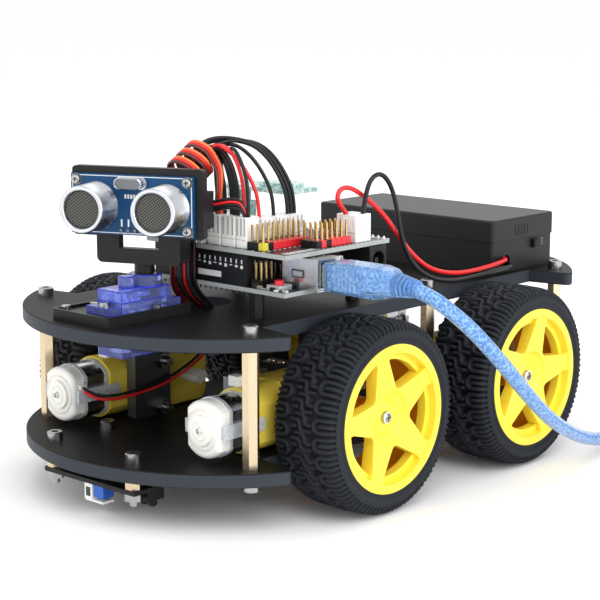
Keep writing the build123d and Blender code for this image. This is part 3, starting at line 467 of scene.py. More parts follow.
def tyre_mesh(material):
    """A tyre about the X axis with its outer face at x = 0, its tread cut as ribs and grooves."""
    wide = TYRE_W
    wall = [(0.9, 24.4), (0.25, RIM_R - 0.4), (0.15, 26.6), (0.45, 26.9), (0.1, 27.3), (0.35, 27.7), (0.0, 28.1),
            (0.0, 29.4), (0.25, 29.7), (0.1, 30.2)]
    tread = [(0.35 + 0.35 * k, None) for k in range(int((wide - 0.7) / 0.35) + 1)]
    section = wall + tread + [(wide - x, r) for x, r in reversed(wall)]
    around = TREAD_CELLS * 15
    pitch = 2 * math.pi * TYRE_R / TREAD_CELLS
    x = np.array([p[0] for p in section])
    edge = np.minimum(x, wide - x)
    crown = TYRE_R - 0.02 - 2.9 * np.exp(-edge / 1.1) - 0.25 * (1 - np.sin(np.pi * x / wide))
    base = np.array([r if r else 0 for _, r in section], float)
    angle = 2 * math.pi * np.arange(around) / around
    xx, aa = np.meshgrid(x, angle)
    along = (aa * TYRE_R) % pitch
    high = tread_height(xx, along, pitch)
    rr = np.where(base > 0, base, crown - 1.8 * (1 - high))
    p = np.stack([-xx, rr * np.sin(aa), rr * np.cos(aa)], -1).reshape(-1, 3) * MM
    n = len(section)
    i, k = np.meshgrid(np.arange(n - 1), np.arange(around))
    nxt = (k + 1) % around
    faces = np.stack([k * n + i, k * n + i + 1, nxt * n + i + 1, nxt * n + i], -1).reshape(-1, 4)
    mesh = bpy.data.meshes.new("tyre")
    mesh.from_pydata(p.tolist(), [], faces.tolist())
    mesh.polygons.foreach_set("use_smooth", [True] * len(faces))
    # A mask for painted shade: 1 on the ribs and walls, 0 down in the grooves, which the rubber paints darker.
    shade = mesh.attributes.new("groove_shade", "FLOAT", "POINT")
    shade.data.foreach_set("value", np.where(base > 0, 1.0, high).astype(np.float32).ravel())
    mesh.materials.append(material)
    mesh.update()
    return mesh


def make_hub_screws(m):
    """The cross-headed screw in the middle of each wheel."""
    for corner, (sx, sy) in CORNERS.items():
        s, at = Shape("hub-screw-" + corner), (sx * (TYRE_OUT - 4.3), sy * AXLE_Y, AXLE_Z)
        s.rings([(0, 2.15), (1.1, 2.1), (1.5, 1.6), (1.62, 0.8), (1.62, 0.01)], m["screw"], 28, (sx, 0, 0), at)
        x = sorted((sx * (TYRE_OUT - 3.2), sx * (TYRE_OUT - 2.64)))
        # Painted shade: dark bars stand for the cross recess in the screw head.
        s.block(*x, at[1] - 1.2, at[1] + 1.2, at[2] - 0.2, at[2] + 0.2, m["recess"])
        s.block(*x, at[1] - 0.2, at[1] + 0.2, at[2] - 1.2, at[2] + 1.2, m["recess"])
        s.done("wheel_" + corner)


def make_tyres(m):
    """The four tyres, which share one mesh."""
    mesh = tyre_mesh(m["tyre"])
    for corner, (sx, sy) in CORNERS.items():
        obj = placed("tread-" + corner, mesh)
        turn = Matrix.Rotation(0 if sx > 0 else math.pi, 4, "Z")
        obj.matrix_world = Matrix.Translation(Vector((sx * TYRE_OUT, sy * AXLE_Y, AXLE_Z)) * MM) @ turn
        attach(obj, "wheel_" + corner)
        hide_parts("tyre_" + corner)


# Head

def head_move():
    """Places a head part that is drawn facing -Y about the servo's axis."""
    return Matrix.Translation(Vector((PIVOT[0], PIVOT[1], 0)) * MM) @ Matrix.Rotation(math.radians(HEAD_TURN), 4, "Z")


def make_sonar(m):
    """The sensor's board with its print and screws, its crystal can and its two transducers."""
    front, mid, z = -6.65, -1.3, 104.7
    board = Shape("sensor-board")
    board.block(mid - 22.5, mid + 22.5, front, front + 1.6, z - 10.2, z + 10.2, m["sonar"])
    for x0, x1, z0, z1 in ((-22.1, 22.1, 9.5, 9.75), (-22.1, 22.1, -9.75, -9.5), (21.7, 22.0, -9.7, 9.7),
                           (-22.0, -21.7, -9.7, 9.7)):
        board.block(mid + x0, mid + x1, front - 0.05, front, z + z0, z + z1, m["ink"])
    for u, v in ((-20.4, -8.2), (-20.4, 8.2), (20.4, -8.2), (20.4, 8.2)):
        x, y, h = mid + u, front - 1.1, z + v
        board.rings([(0, 2.0), (0.06, 2.0)], m["shaded_alu"], 24, (0, -1, 0), (x, front, h))
        head = [(0, 1.5), (0.25, 1.35), (0.35, 0.9), (0.1, 0.1)]
        board.rings(head, m["screw"], 24, (0, -1, 0), (x, y, h), caps=False)
        # Painted shade: dark bars stand for the cross recess in the screw head.
        board.block(x - 0.8, x + 0.8, y - 0.42, y, h - 0.16, h + 0.16, m["recess"])
        board.block(x - 0.16, x + 0.16, y - 0.42, y, h - 0.8, h + 0.8, m["recess"])
    for k in range(4):
        board.rod(0.55, (mid - 3.8 + 2.54 * k, front, z - 8.6), (0, -1, 0), 0.7, m["shaded_alu"], 12)
        board.block(mid - 4.1 + 2.54 * k, mid - 3.5 + 2.54 * k, front - 0.05, front, z - 7.4, z - 4.9, m["ink"])
    for k in range(5):
        board.block(mid - 2.6 + 1.1 * k, mid - 1.9 + 1.1 * k, front - 0.05, front, z + 2.2, z + 3.6, m["ink"])
    board.block(mid - 5.1, mid + 5.1, front + 1.6, front + 3.5, z - 9.0, z - 6.6, m["header"])
    board.done("head", "sonar_board", move=head_move())
    crystal = Shape("crystal-can")
    outline = [(math.cos(a) * 1.9 + (3.3 if math.cos(a) > 0 else -3.3), math.sin(a) * 1.9)
               for a in [2 * math.pi * (k + 0.5) / 32 for k in range(32)]]
    layers = [(0, 1.12), (-0.5, 1.12), (-0.5, 1.0), (-3.0, 1.0), (-3.4, 0.88)]
    p = [(mid + u * s, front + y, z + 7.5 + v * s) for y, s in layers for u, v in outline]
    crystal.add(p, band(len(layers), 32), m["can"])
    # Painted shade: the crystal's front face takes the darkened aluminium, its sides the bright one.
    crystal.add(p, lids(len(layers), 32)[1:], m["shaded_alu"])
    crystal.done("head", move=head_move())
    cans = Shape("transducer-cans")
    for u in (-13.0, 13.0):
        at = (mid + u, front, z - 0.6)
        cans.rings([(0, 8.35), (0.9, 8.35), (1.1, 8.05), (11.4, 8.05), (12.1, 7.85), (12.35, 7.4), (12.2, 6.7),
                    (11.6, 6.35), (10.9, 6.3)], m["can"], 64, (0, -1, 0), at, caps=False)
        cans.rings([(10.9, 6.35), (11.0, 6.0)], m["header"], 64, (0, -1, 0), at, caps=False)
        cans.rings([(10.95, 6.3), (11.05, 3.0), (11.1, 0.01)], m["gauze"], 48, (0, -1, 0), at, caps=False)
    cans.done("head", "sonar_transducers", move=head_move())


# Servo and motors

def make_servo(m):
    """The clear blue servo: its shell, dark blue bars painted along its edges as shade, two dark bands round it, and
    what shows through it.
    """
    shell, inside = Shape("servo-shell"), Shape("servo-works")
    for x0, x1, y0, y1, z0, z1 in ((-6.1, 6.1, -102.0, -79.8, 54.0, 76.7), (-6.1, 6.1, -107.0, -102.0, 69.2, 71.7),
                                   (-6.1, 6.1, -79.8, -74.8, 69.2, 71.7)):
        shell.block(x0, x1, y0, y1, z0, z1, m["shell"])
        # Painted shade: darker blue bars along every edge of the shell.
        edge_bars(shell, x0, x1, y0, y1, z0, z1, 0.28, m["shell_bands_and_edge_shade"])
    # Two dark blue bands round the shell.
    for z in (57.8, 72.6):
        shell.block(-6.14, 6.14, -102.04, -79.76, z, z + 0.35, m["shell_bands_and_edge_shade"])
    for r, y in ((5.9, -85.8), (2.8, -94.2)):
        shell.rings([(0, r), (3.6, r), (4.0, r - 0.4)], m["shell"], 40, (0, 0, 1), (0, y, 76.7))
        # Painted shade: darker blue rings at the foot and top edge of each boss.
        shell.rings([(0, r + 0.05), (0.5, r + 0.05)], m["shell_bands_and_edge_shade"], 40, (0, 0, 1), (0, y, 76.7), caps=False)
        shell.rings([(3.7, r - 0.1), (4.02, r - 0.4)], m["shell_bands_and_edge_shade"], 40, (0, 0, 1), (0, y, 76.7), caps=False)
    shell.done("chassis", "servo_case", bevel=0.3)
    inside.rod(4.0, (0, -96.4, 55.4), (0, 0, 1), 13.6, m["steel"])
    inside.block(-4.6, 4.6, -91.4, -82.0, 55.2, 67.0, m["inside"])
    inside.block(-4.9, 4.9, -101.0, -81.0, 68.4, 69.8, m["inside"])
    for r, x, y, z in ((4.2, 0, -94.2, 72.4), (3.4, 1.2, -90.2, 74.0), (3.8, -0.6, -86.0, 71.4)):
        inside.rod(r, (x, y, z), (0, 0, 1), 1.4, m["inside"], 28)
    inside.block(-5.0, 5.0, -101.2, -98.0, 70.8, 75.6, m["inside"])
    inside.block(-5.0, 5.0, -83.2, -80.8, 70.8, 75.6, m["inside"])
    inside.done("chassis", bevel=0.2)


def edge_bars(shape, x0, x1, y0, y1, z0, z1, w, material):
    """Thin square bars along a box's twelve edges, standing a hair proud."""
    out = 0.03
    for y, z in ((y0, z0), (y0, z1), (y1, z0), (y1, z1)):
        shape.block(x0 - out, x1 + out, *bar(y, y0, w, out), *bar(z, z0, w, out), material)
    for x, z in ((x0, z0), (x0, z1), (x1, z0), (x1, z1)):
        shape.block(*bar(x, x0, w, out), y0 - out, y1 + out, *bar(z, z0, w, out), material)
    for x, y in ((x0, y0), (x0, y1), (x1, y0), (x1, y1)):
        shape.block(*bar(x, x0, w, out), *bar(y, y0, w, out), z0 - out, z1 + out, material)


def bar(at, low, w, out):
    """A bar's two sides along one axis, inside the box's edge at that place."""
    return (at - out, at + w) if at == low else (at - w, at + out)


def make_motor_details(m):
    """Each motor's strap, terminals and end cap ribs, and the small white connector on its collar."""
    x = MOTOR_X
    for corner, (sx, sy) in CORNERS.items():
        s = Shape("motor-trim-" + corner)
        for y0, y1, r, flat in ((80.2, 77.4, 10.45, 8.05), (90.0, 88.3, 10.3, 7.95)):
            ring = [(r * math.cos(a), r * math.sin(a)) for a in [2 * math.pi * k / 48 for k in range(48)]]
            ring = [(max(-flat, min(flat, u)), v) for u, v in ring]
            p = [(sx * (x + u * g), sy * y, AXLE_Z + v * g) for y in (y0, y1) for g in (1, 0.9) for u, v in ring]
            f = []
            for k in range(48):
                n = (k + 1) % 48
                f += [(k, n, 96 + n, 96 + k), (48 + k, 48 + n, n, k), (96 + k, 96 + n, 144 + n, 144 + k)]
            s.add(p, f, m["strap"])
        for side in (-1, 1):
            s.block(*sorted((sx * (x + side * 8.0), sx * (x + side * 9.3))), *sorted((sy * 93.6, sy * 74.0)),
                    AXLE_Z - 2.4, AXLE_Z + 2.4, m["strap"])
        cap = (sx * x, sy * 94.8, AXLE_Z)
        s.rings([(0, 7.2), (0.25, 7.0)], m["nylon"], 40, (0, sy, 0), cap, caps=False)
        s.rings([(0.0, 6.7), (0.3, 6.6), (0.3, 6.2), (0.0, 6.1)], m["nylon"], 40, (0, sy, 0), cap, caps=False)
        s.rings([(1.0, 3.4), (1.35, 3.3), (1.35, 2.9), (1.0, 2.8)], m["nylon"], 32, (0, sy, 0), cap, caps=False)
        s.rings([(0, 0.8), (2.2, 0.8), (2.4, 0.5)], m["screw"], 20, (0, sy, 0), cap)
        s.block(*sorted((sx * 31.0, sx * 35.4)), *sorted((sy * 77.0, sy * 73.2)), AXLE_Z + 11.0, AXLE_Z + 14.6,
                m["connector"])
        s.done("chassis", bevel=0.15)


# Boards

def make_controller(m):
    """The lower board with the parts that can be seen between it and the shield."""
    top, s = CONTROLLER_TOP, Shape("controller")
    s.block(-16.9, 49.2, -68.5, -15.2, top - 1.6, top, m["board"])
    s.block(-19.4, -16.9, -65.5, -15.2, top - 1.6, top, m["board"])
    s.block(-2.0, 33.6, -36.0, -28.4, top + 0.4, top + 4.4, m["header"])
    for k in range(14):
        for y in (-36.5, -28.4):
            s.block(-0.6 + 2.54 * k, -0.1 + 2.54 * k, y, y + 0.5, top, top + 2.6, m["solder"])
    s.block(39.7, 45.7, -67.2, -61.2, top, top + 1.9, m["solder"])
    s.block(36.4, 40.4, -39.5, -35.5, top, top + 3.2, m["steel"])
    for k in range(6):
        x, y = 32.6 + 2.5 * (k % 2), -64.8 + 2.54 * (k // 2)
        s.block(x - 0.32, x + 0.32, y - 0.32, y + 0.32, top, top + 8.4, m["gold"])
        s.block(x - 1.2, x + 1.2, y - 1.2, y + 1.2, top, top + 2.5, m["header"])
    finishes = ("solder", "header", "ink", "recess", "solder", "brass")
    for k in range(44):
        x, y = 36.2 + 2.9 * (k % 5), -44.6 + 2.6 * (k // 5)
        if k >= 30:
            x, y = 37.0 + 1.9 * (k % 7), -67.4 + 2.2 * ((k - 30) // 7) + (18.0 if k > 36 else 0)
        wide = 0.7 + 0.25 * (k % 3)
        s.block(x - wide, x + wide, y - 0.55, y + 0.55, top, top + 0.5 + 0.25 * (k % 4), m[finishes[k % 6]])
    for k in range(18):
        x = -13.4 + 2.54 * k
        s.rings([(0, 0.3), (0.9, 0.45), (1.5, 0.8)], m["solder"], 8, (0, 0, 1), (x, -66.0, top - 3.1))
        s.rings([(0, 0.3), (0.9, 0.45), (1.5, 0.8)], m["solder"], 8, (0, 0, 1), (x, -17.7, top - 3.1))
    s.done("chassis", "controller_board", bevel=0.1)
    marks = Shape("header-marks")
    for k in range(9):
        x = 7.9 + 2.54 * k
        marks.block(x - 0.28, x + 0.28, -67.34, -67.3, 84.6, 86.0, m["ink"])
        marks.block(x - 0.6, x + 0.6, -67.34, -67.3, 83.6 - 0.35 * (k % 3), 84.0, m["ink"])
    marks.block(7.2, 18.4, -67.36, -67.3, 79.0, 81.0, m["ink"])
    marks.done("chassis")
    make_ports(m)


def make_ports(m):
    """Folds, springs and rim of the USB socket, and the power jack's face."""
    top, s = CONTROLLER_TOP, Shape("socket-trim")
    for z0, z1 in ((top - 0.1, top + 0.5), (top + 10.4, top + 11.0)):
        s.block(54.7, 55.9, -59.6, -47.0, z0, z1, m["steel"])
    for y0, y1 in ((-59.7, -59.2), (-47.4, -46.9)):
        s.block(54.7, 55.9, y0, y1, top, top + 10.9, m["steel"])
        # Painted shade: a dark block behind each spring tab in the socket.
        s.block(44.0, 49.4, y0 + 0.1, y1 - 0.1, top + 4.0, top + 6.8, m["recess"])
        s.block(44.6, 48.8, y0 + 0.02, y1 - 0.02, top + 4.5, top + 6.3, m["steel"])
    # Painted shade: a dark rim round each tab in the socket's top.
    for y in (-56.6, -51.6):
        s.block(46.0, 51.6, y, y + 1.6, top + 10.8, top + 10.92, m["recess"])
        s.block(46.5, 51.1, y + 0.25, y + 1.35, top + 10.8, top + 10.98, m["steel"])
    s.done("chassis", bevel=0.1)
    jack = Shape("jack-trim")
    jack.rings([(0, 4.1), (0.3, 3.9), (0.3, 3.3), (-4.0, 3.2)], m["header"], 32, (1, 0, 0), (51.2, -22.8, 83.1),
               caps=False)
    jack.rings([(-8.0, 0.95), (-1.2, 0.95), (-0.8, 0.6)], m["screw"], 16, (1, 0, 0), (51.2, -22.8, 83.1))
    jack.done("chassis")


# Colours of the pin strips' plastic, from the front: one letter for each pin.
STRIP_COLORS = {31.6: "kkkkkkkkk", 34.2: "kkrrrrrrr", 36.8: "ykrrrrrrr", 41.6: "kkkkkkk", 44.2: "krkrrrr",
                46.8: "krkrrrr"}


def make_pins(m):
    """The shield's gold pins standing in their coloured strips."""
    pins = Shape("pin-strips")
    plastic = {"y": m["yellow"], "k": m["header"], "r": m["red"]}
    for x, colors in STRIP_COLORS.items():
        y0 = -65.6 if x < 40 else -50.0
        for n, color in enumerate(colors):
            y = y0 + 2.54 * n
            pins.block(x - 1.2, x + 1.2, y - 1.22, y + 1.22, SHIELD_TOP, SHIELD_TOP + 2.5, plastic[color])
            pins.block(x - 0.32, x + 0.32, y - 0.32, y + 0.32, SHIELD_TOP + 2.4, SHIELD_TOP + 8.3, m["gold"])
    pins.done("chassis", "shield_pins", bevel=0.12)


def make_shield(m):
    """The upper board: solder joints along its header rows, small parts and printed marks."""
    top, s = SHIELD_TOP, Shape("shield")
    s.block(-17.4, 50.0, -68.8, -15.2, top - 1.6, top, m["board"])
    s.block(-19.4, -17.4, -66.8, -15.2, top - 1.6, top, m["board"])
    for k in range(26):
        x = -14.0 + 2.54 * k
        for y in (-67.3, -17.6):
            if x < 10 or y > -20:
                s.rings([(0, 0.85), (0.45, 0.5), (0.95, 0.3)], m["solder"], 10, (0, 0, 1), (x, y, top))
        if k % 2 and x < 44:
            s.block(x - 0.5, x + 0.6, -68.5, -68.0, top, top + 0.04, m["ink"])
    for k in range(14):
        s.block(38.6, 39.6, -65.6 + 2.54 * k, -64.8 + 2.54 * k, top, top + 0.04, m["ink"])
        s.block(49.0, 49.6, -49.6 + 2.2 * k, -49.0 + 2.2 * k, top, top + 0.04, m["ink"])
    for k in range(18):
        x, y = -8.0 + 3.1 * (k % 6), -54.0 + 9.5 * (k // 6)
        s.block(x - 0.9, x + 0.9, y - 0.5, y + 0.5, top, top + 0.6, m[("solder", "header", "ink")[k % 3]])
    s.block(-6.0, 4.0, -42.0, -34.0, top, top + 1.6, m["header"])
    for k in range(20):
        s.block(46.0 - 0.4 * (k % 2), 48.8, -66.6 + 0.85 * k, -66.2 + 0.85 * k, top, top + 0.03, m["ink"])
    for k in range(12):
        x = 20.0 + 2.54 * k
        s.rings([(0, 0.3), (1.4, 0.75)], m["solder"], 8, (0, 0, 1), (min(x, 48.6), -24.0, top - 3.0))
    s.done("chassis", "shield_board", bevel=0.08)
    make_connector_details(m)


def make_connector_details(m):
    """Wire entries, keys and mould lines on the white connectors, drawn as grey marks of painted shade, and the
    socket the bundles end in.
    """
    s = Shape("connector-trim")
    for x, y, z in FRONT_ENDS + REAR_ENDS:
        s.block(x - 0.85, x + 0.85, y - 0.85, y + 0.85, z - 1.2, z - 0.95, m["groove"])
    for x0, x1, y, z0, z1 in ((11.0, 17.4, -66.6, 89.9, 100.3), (17.9, 24.3, -66.6, 89.9, 100.3),
                              (24.8, 29.8, -66.6, 89.9, 100.3), (3.0, 9.6, -66.6, 89.9, 97.5)):
        for k in range(3):
            x = x0 + (x1 - x0) * (k + 0.5) / 3
            s.block(x - 0.35, x + 0.35, y - 0.03, y, z0 + 4.0, z1 - 0.4, m["groove"])
        s.block(x0, x1, y - 0.03, y, z0 + 2.6, z0 + 2.8, m["groove"])
    for y0, y1 in ((-57.6, -51.2), (-50.4, -44.0), (-43.2, -36.8)):
        s.block(29.0, 29.03, y0, y1, 92.6, 92.8, m["groove"])
        for k in range(3):
            y = y0 + (y1 - y0) * (k + 0.5) / 3
            s.block(29.0, 29.03, y - 0.35, y + 0.35, 94.2, 98.5, m["groove"])
    s.block(48.2, 48.24, -30.6, -24.2, 93.0, 93.25, m["groove"])
    s.block(39.8, 48.0, -31.44, -31.4, 93.0, 93.25, m["groove"])
    s.block(42.0, 44.0, -31.0, -29.0, 99.2, 99.5, m["groove"])
    s.block(46.0, 48.0, -27.2, -25.2, 99.2, 99.5, m["groove"])
    s.done("chassis")
    socket = Shape("harness-socket")
    socket.block(4.0, 20.0, -43.4, -36.6, 51.0, 61.8, m["header"])
    # Painted shade: the socket's open face in the recess-shade colour.
    socket.block(5.0, 19.0, -43.6, -43.3, 52.0, 58.0, m["recess"])
    socket.done("chassis", bevel=0.3)


def make_driver(m):
    """The motor driver between the plates: red board, tall chip, ribbed heat sink and screw terminals."""
    low, s = 26.9, Shape("driver")
    top = low + 1.6
    s.block(-21.5, 21.5, -21.5, 21.5, low, top, m["driver"])
    s.block(-9.8, 9.8, 2.6, 7.0, top, top + 20.0, m["header"])
    for k in range(15):
        s.block(-8.9 + 1.27 * k, -8.4 + 1.27 * k, 1.4 - 1.6 * (k % 2), 2.8, top, top + 3.0, m["solder"])
    s.block(-11.5, 11.5, 7.0, 8.8, top + 0.4, top + 24.0, m["header"])
    for n in range(6):
        s.block(-11.5 + n * 4.36, -10.3 + n * 4.36, 8.6, 18.0, top + 0.4, top + 24.0, m["header"])
    for x0, x1, y0, y1 in ((-21.4, -13.4, -9.0, 1.4), (13.4, 21.4, -9.0, 1.4), (-7.6, 7.6, -21.4, -13.4)):
        s.block(x0, x1, y0, y1, top, top + 9.4, m["header"])
        for k in range(2 if x0 != -7.6 else 3):
            x, y = ((x0 + x1) / 2, y0 + 2.7 + 5.1 * k) if x0 != -7.6 else (x0 + 2.6 + 5.0 * k, (y0 + y1) / 2)
            s.rings([(0, 1.7), (0.3, 1.6)], m["screw"], 20, (0, 0, 1), (x, y, top + 9.4))
    for x, y in ((-14.0, 10.0), (14.5, 11.0)):
        s.rings([(0, 3.2), (7.6, 3.2), (8.0, 2.9)], m["can"], 28, (0, 0, 1), (x, y, top))
    s.block(10.4, 12.0, -19.6, -17.6, top, top + 1.4, m["yellow"])
    s.done("chassis", "driver_board", bevel=0.15)


def make_line_sensor(m):
    """The board under the front: trimmer with its plug, and the infrared pair."""
    z, s = 10.8, Shape("line-board")
    s.block(-26.4, 20.0, -110.4, -97.0, z, z + 1.6, m["bracket"])
    s.block(-26.4, -16.4, -97.4, -82.4, z, z + 1.6, m["bracket"])
    s.block(-1.6, 3.2, -109.4, -104.6, z - 4.6, z, m["terminal"])
    s.rings([(0, 1.5), (0.3, 1.4)], m["brass"], 20, (0, 0, -1), (0.8, -107.0, z - 4.6))
    s.block(-5.8, -1.9, -110.0, -104.8, z - 5.8, z, m["connector"])
    # Painted shade: a dark patch for the opening in the plug's face.
    s.block(-5.0, -2.7, -110.1, -109.9, z - 4.6, z - 1.4, m["recess"])
    s.block(-5.6, 3.2, -109.6, -104.6, z - 6.4, z - 5.6, m["connector"])
    s.block(11.8, 19.4, -103.8, -96.4, z - 3.6, z, m["header"])
    for x in (13.7, 17.5):
        s.rings([(0, 1.6), (1.8, 1.5), (2.4, 0.9), (2.6, 0.1)], m["header"], 20, (0, 0, -1), (x, -100.0, z - 3.6))
    for k in range(6):
        s.block(-13.0 + 2.0 * k, -12.0 + 2.0 * k, -100.6, -99.6, z - 0.7, z, m["solder"])
    s.done("chassis", "line_sensor", bevel=0.15)


def make_box_details(m):
    """The recess that the switch slides in, the switch's grips, and the lid's finger grips."""
    s = Shape("box-trim")
    # Painted shade: a thin dark sheet for the recess the switch slides in.
    s.block(42.55, 42.68, 83.6, 92.0, 74.5, 78.1, m["recess"])
    for k in range(4):
        s.block(43.9, 44.28, 84.0 + 0.95 * k, 84.4 + 0.95 * k, 74.8, 77.8, m["box"])
    s.done("chassis")
    lid = Shape("lid-trim")
    for k in range(5):
        lid.block(43.0, 43.14, 72.0 + 2.0 * k, 73.0 + 2.0 * k, 80.6, 84.6, m["box"])
    lid.done("lid")


# Cords

USB_ROUTE = [
    (89.0, -53.3, 82.2), (97.0, -53.6, 80.9), (104.0, -51.5, 76.6), (109.2, -46.0, 70.0),
    (111.6, -37.5, 61.3), (111.2, -25.5, 51.4), (108.4, -10.5, 40.4), (103.8, 7.5, 29.6),
    (98.0, 27.5, 20.2), (92.2, 48.0, 12.2), (86.8, 69.5, 6.2), (83.2, 91.0, 2.9),
    (83.0, 108.0, 2.5),
]
USB_D, USB_TURNS = 5.0, 1.5
COIL_AT, COIL_R = (110.5, 119.0), 27.3
RED_ROUTE = [
    (40.6, 65.6, 72.0), (44.8, 64.4, 72.4), (47.6, 56.0, 72.3), (47.9, 42.0, 71.4), (47.9, 27.0, 71.5),
    (47.8, 12.0, 74.8), (47.6, 1.0, 81.6), (47.3, -7.6, 90.4), (46.6, -15.0, 98.6), (45.2, -24.2, 105.6),
    (44.4, -30.4, 108.9), (44.0, -35.0, 108.6), (43.8, -36.4, 105.2), (43.5, -33.4, 102.0), (43.0, -30.0, 99.0),
]
BLACK_ROUTE = [
    (40.6, 67.6, 70.1), (44.8, 66.6, 70.0), (49.2, 60.0, 70.3), (50.6, 50.0, 70.6), (50.8, 37.0, 69.9),
    (50.7, 20.0, 69.7), (50.6, 6.6, 73.0), (50.2, -2.8, 79.6), (49.6, -7.8, 88.4), (49.2, -9.8, 98.8),
    (48.6, -12.6, 108.2), (48.2, -17.8, 113.2), (47.8, -23.0, 111.6), (47.4, -25.4, 105.6), (47.0, -26.2, 99.0),
]


# Where the jumpers enter their connectors, front row and then the row behind.
FRONT_ENDS = [(12.2, -63.2, 100.6), (14.2, -62.6, 100.6), (16.2, -63.0, 100.6), (19.2, -62.8, 100.6),
              (21.2, -63.4, 100.6), (23.2, -63.6, 100.6), (26.2, -63.8, 100.6), (28.6, -64.2, 100.6)]
REAR_ENDS = [(24.4, -54.6, 99.2), (24.6, -47.6, 99.2), (25.4, -41.4, 99.2), (25.4, -39.6, 99.2), (25.4, -37.8, 99.2)]
FRONT_COLORS = ["black"] * 6 + ["red", "black"]
REAR_COLORS = ["red"] + ["black"] * 4
JUMPER_D = 1.35
TRUNK = [(5.3, -70.8, 104.0), (5.2, -71.2, 93.0), (5.2, -71.4, 83.0), (4.9, -71.2, 74.4), (4.2, -60.6, 65.6),
         (4.2, -54.4, 60.3), (7.0, -47.6, 56.4), (10.0, -42.6, 55.0)]
MOTOR_ROUTE = [
    (28.1, -91.0, 36.2), (24.8, -89.4, 33.6), (22.2, -82.0, 32.0), (20.6, -71.0, 32.8), (20.2, -58.0, 34.2),
    (20.0, -44.0, 39.0), (22.0, -31.0, 45.0), (23.6, -20.0, 45.4), (24.2, -12.0, 39.4),
]
SERVO_START = [
    (-2.5, -79.9, 57.2), (-2.8, -73.4, 56.8), (-3.6, -67.4, 57.6), (-3.8, -63.2, 62.4), (-3.2, -63.6, 67.6),
    (-1.6, -70.8, 74.2), (-0.6, -71.6, 82.0), (-0.6, -71.6, 94.0), (-1.0, -72.0, 104.0),
]
SERVO_END = [(14.6, -63.8, 115.4), (16.2, -65.4, 110.8), (16.0, -65.9, 106.4), (15.3, -65.2, 102.8),
             (15.2, -64.4, 99.8)]
# The winding of the servo lead: its middle, axis and radius, its turns and how far apart they are.
SERVO_COIL, SERVO_ALONG, SERVO_R = (4.6, -71.2, 113.6), (0.12, 0.80, 0.60), 6.1
SERVO_TURNS, SERVO_PITCH = 2.57, 4.3
SERVO_D, MOTOR_D = 1.15, 1.1
SONAR_ROUTE = [
    (0.04, -89.16, 97.0), (-1.2, -86.3, 97.0), (-1.9, -82.0, 97.6), (0.4, -77.6, 98.8), (6.0, -75.2, 100.4),
    (12.6, -73.6, 102.2), (19.2, -71.4, 104.0), (25.0, -68.6, 105.4), (27.6, -65.8, 104.4), (27.6, -64.2, 99.8),
]


def coil_points(turns, start, rise):
    """The USB cable's spare turns on the ground, from the angle where it arrives."""
    points, per = [], 16
    for k in range(int(turns * per) + 1):
        a = math.radians(start) - 2 * math.pi * k / per
        lift = USB_D / 2 + rise * min(1, k / per)
        r = COIL_R / math.cos(math.pi / per)
        points.append((COIL_AT[0] + r * math.cos(a), COIL_AT[1] + r * math.sin(a), lift))
    return points


def make_usb(m):
    """The USB cable, clear over a braid, with its two plugs."""
    plug = make_usb_plug(m)
    end_plug = make_end_plug(m)
    route = USB_ROUTE + coil_points(USB_TURNS, 180, 5.1)
    end = (COIL_AT[0] + COIL_R, COIL_AT[1] - 14.0, 7.4)
    route += [end, (COIL_AT[0] + COIL_R, COIL_AT[1] - 32.5, 4.2)]
    cable, length = wire("usb-jacket", route, USB_D, m["usb"], "chassis", "usb_cable", "usb_coil")
    core, _ = wire("usb-braid", route, 4.1, m["braid"], "chassis")


def make_usb_plug(m):
    """The clear blue plug in the socket: metal tip and shield inside, moulded body, ribbed relief."""
    y, z, s = -53.3, 82.5, Shape("usb-plug-body")
    s.block(46.0, 57.6, y - 4.1, y + 4.1, z - 3.9, z + 3.9, m["steel"])
    s.block(57.4, 60.6, y - 5.3, y + 5.3, z - 4.9, z + 4.7, m["usb"])
    stations = [(60.6, 0.92), (61.4, 1.0), (78.0, 1.0), (82.4, 0.86), (84.6, 0.66)]
    outline = [(-6.0, -3.6), (-4.2, -5.4), (4.2, -5.4), (6.0, -3.6), (6.0, 3.4), (4.2, 5.2), (-4.2, 5.2), (-6.0, 3.4)]
    p = [(x, y + u * g, z + v * g) for x, g in stations for u, v in outline]
    s.add(p, band(len(stations), 8) + lids(len(stations), 8), m["usb"])
    for k in range(6):
        x = 84.4 + 1.55 * k
        r = 4.1 - 0.22 * k
        s.rings([(0, r - 0.5), (0.3, r), (1.0, r), (1.3, r - 0.5)], m["usb"], 28, (1, 0, -0.06),
                (x, y, z - 0.15 - 0.09 * k))
    s.done("chassis", "usb_plug", bevel=0.4)
    core = Shape("usb-plug-core")
    core.block(58.6, 72.0, y - 4.6, y + 4.6, z - 4.0, z + 3.8, m["braid"])
    core.block(72.0, 80.0, y - 3.2, y + 3.2, z - 3.0, z + 2.8, m["braid"])
    for k in range(7):
        core.block(60.0 + 1.6 * k, 60.8 + 1.6 * k, y - 4.7, y + 4.7, z - 4.1, z + 3.9, m["can"])
    core.done("chassis", bevel=0.3)
    return bpy.data.objects["usb-plug-body"]


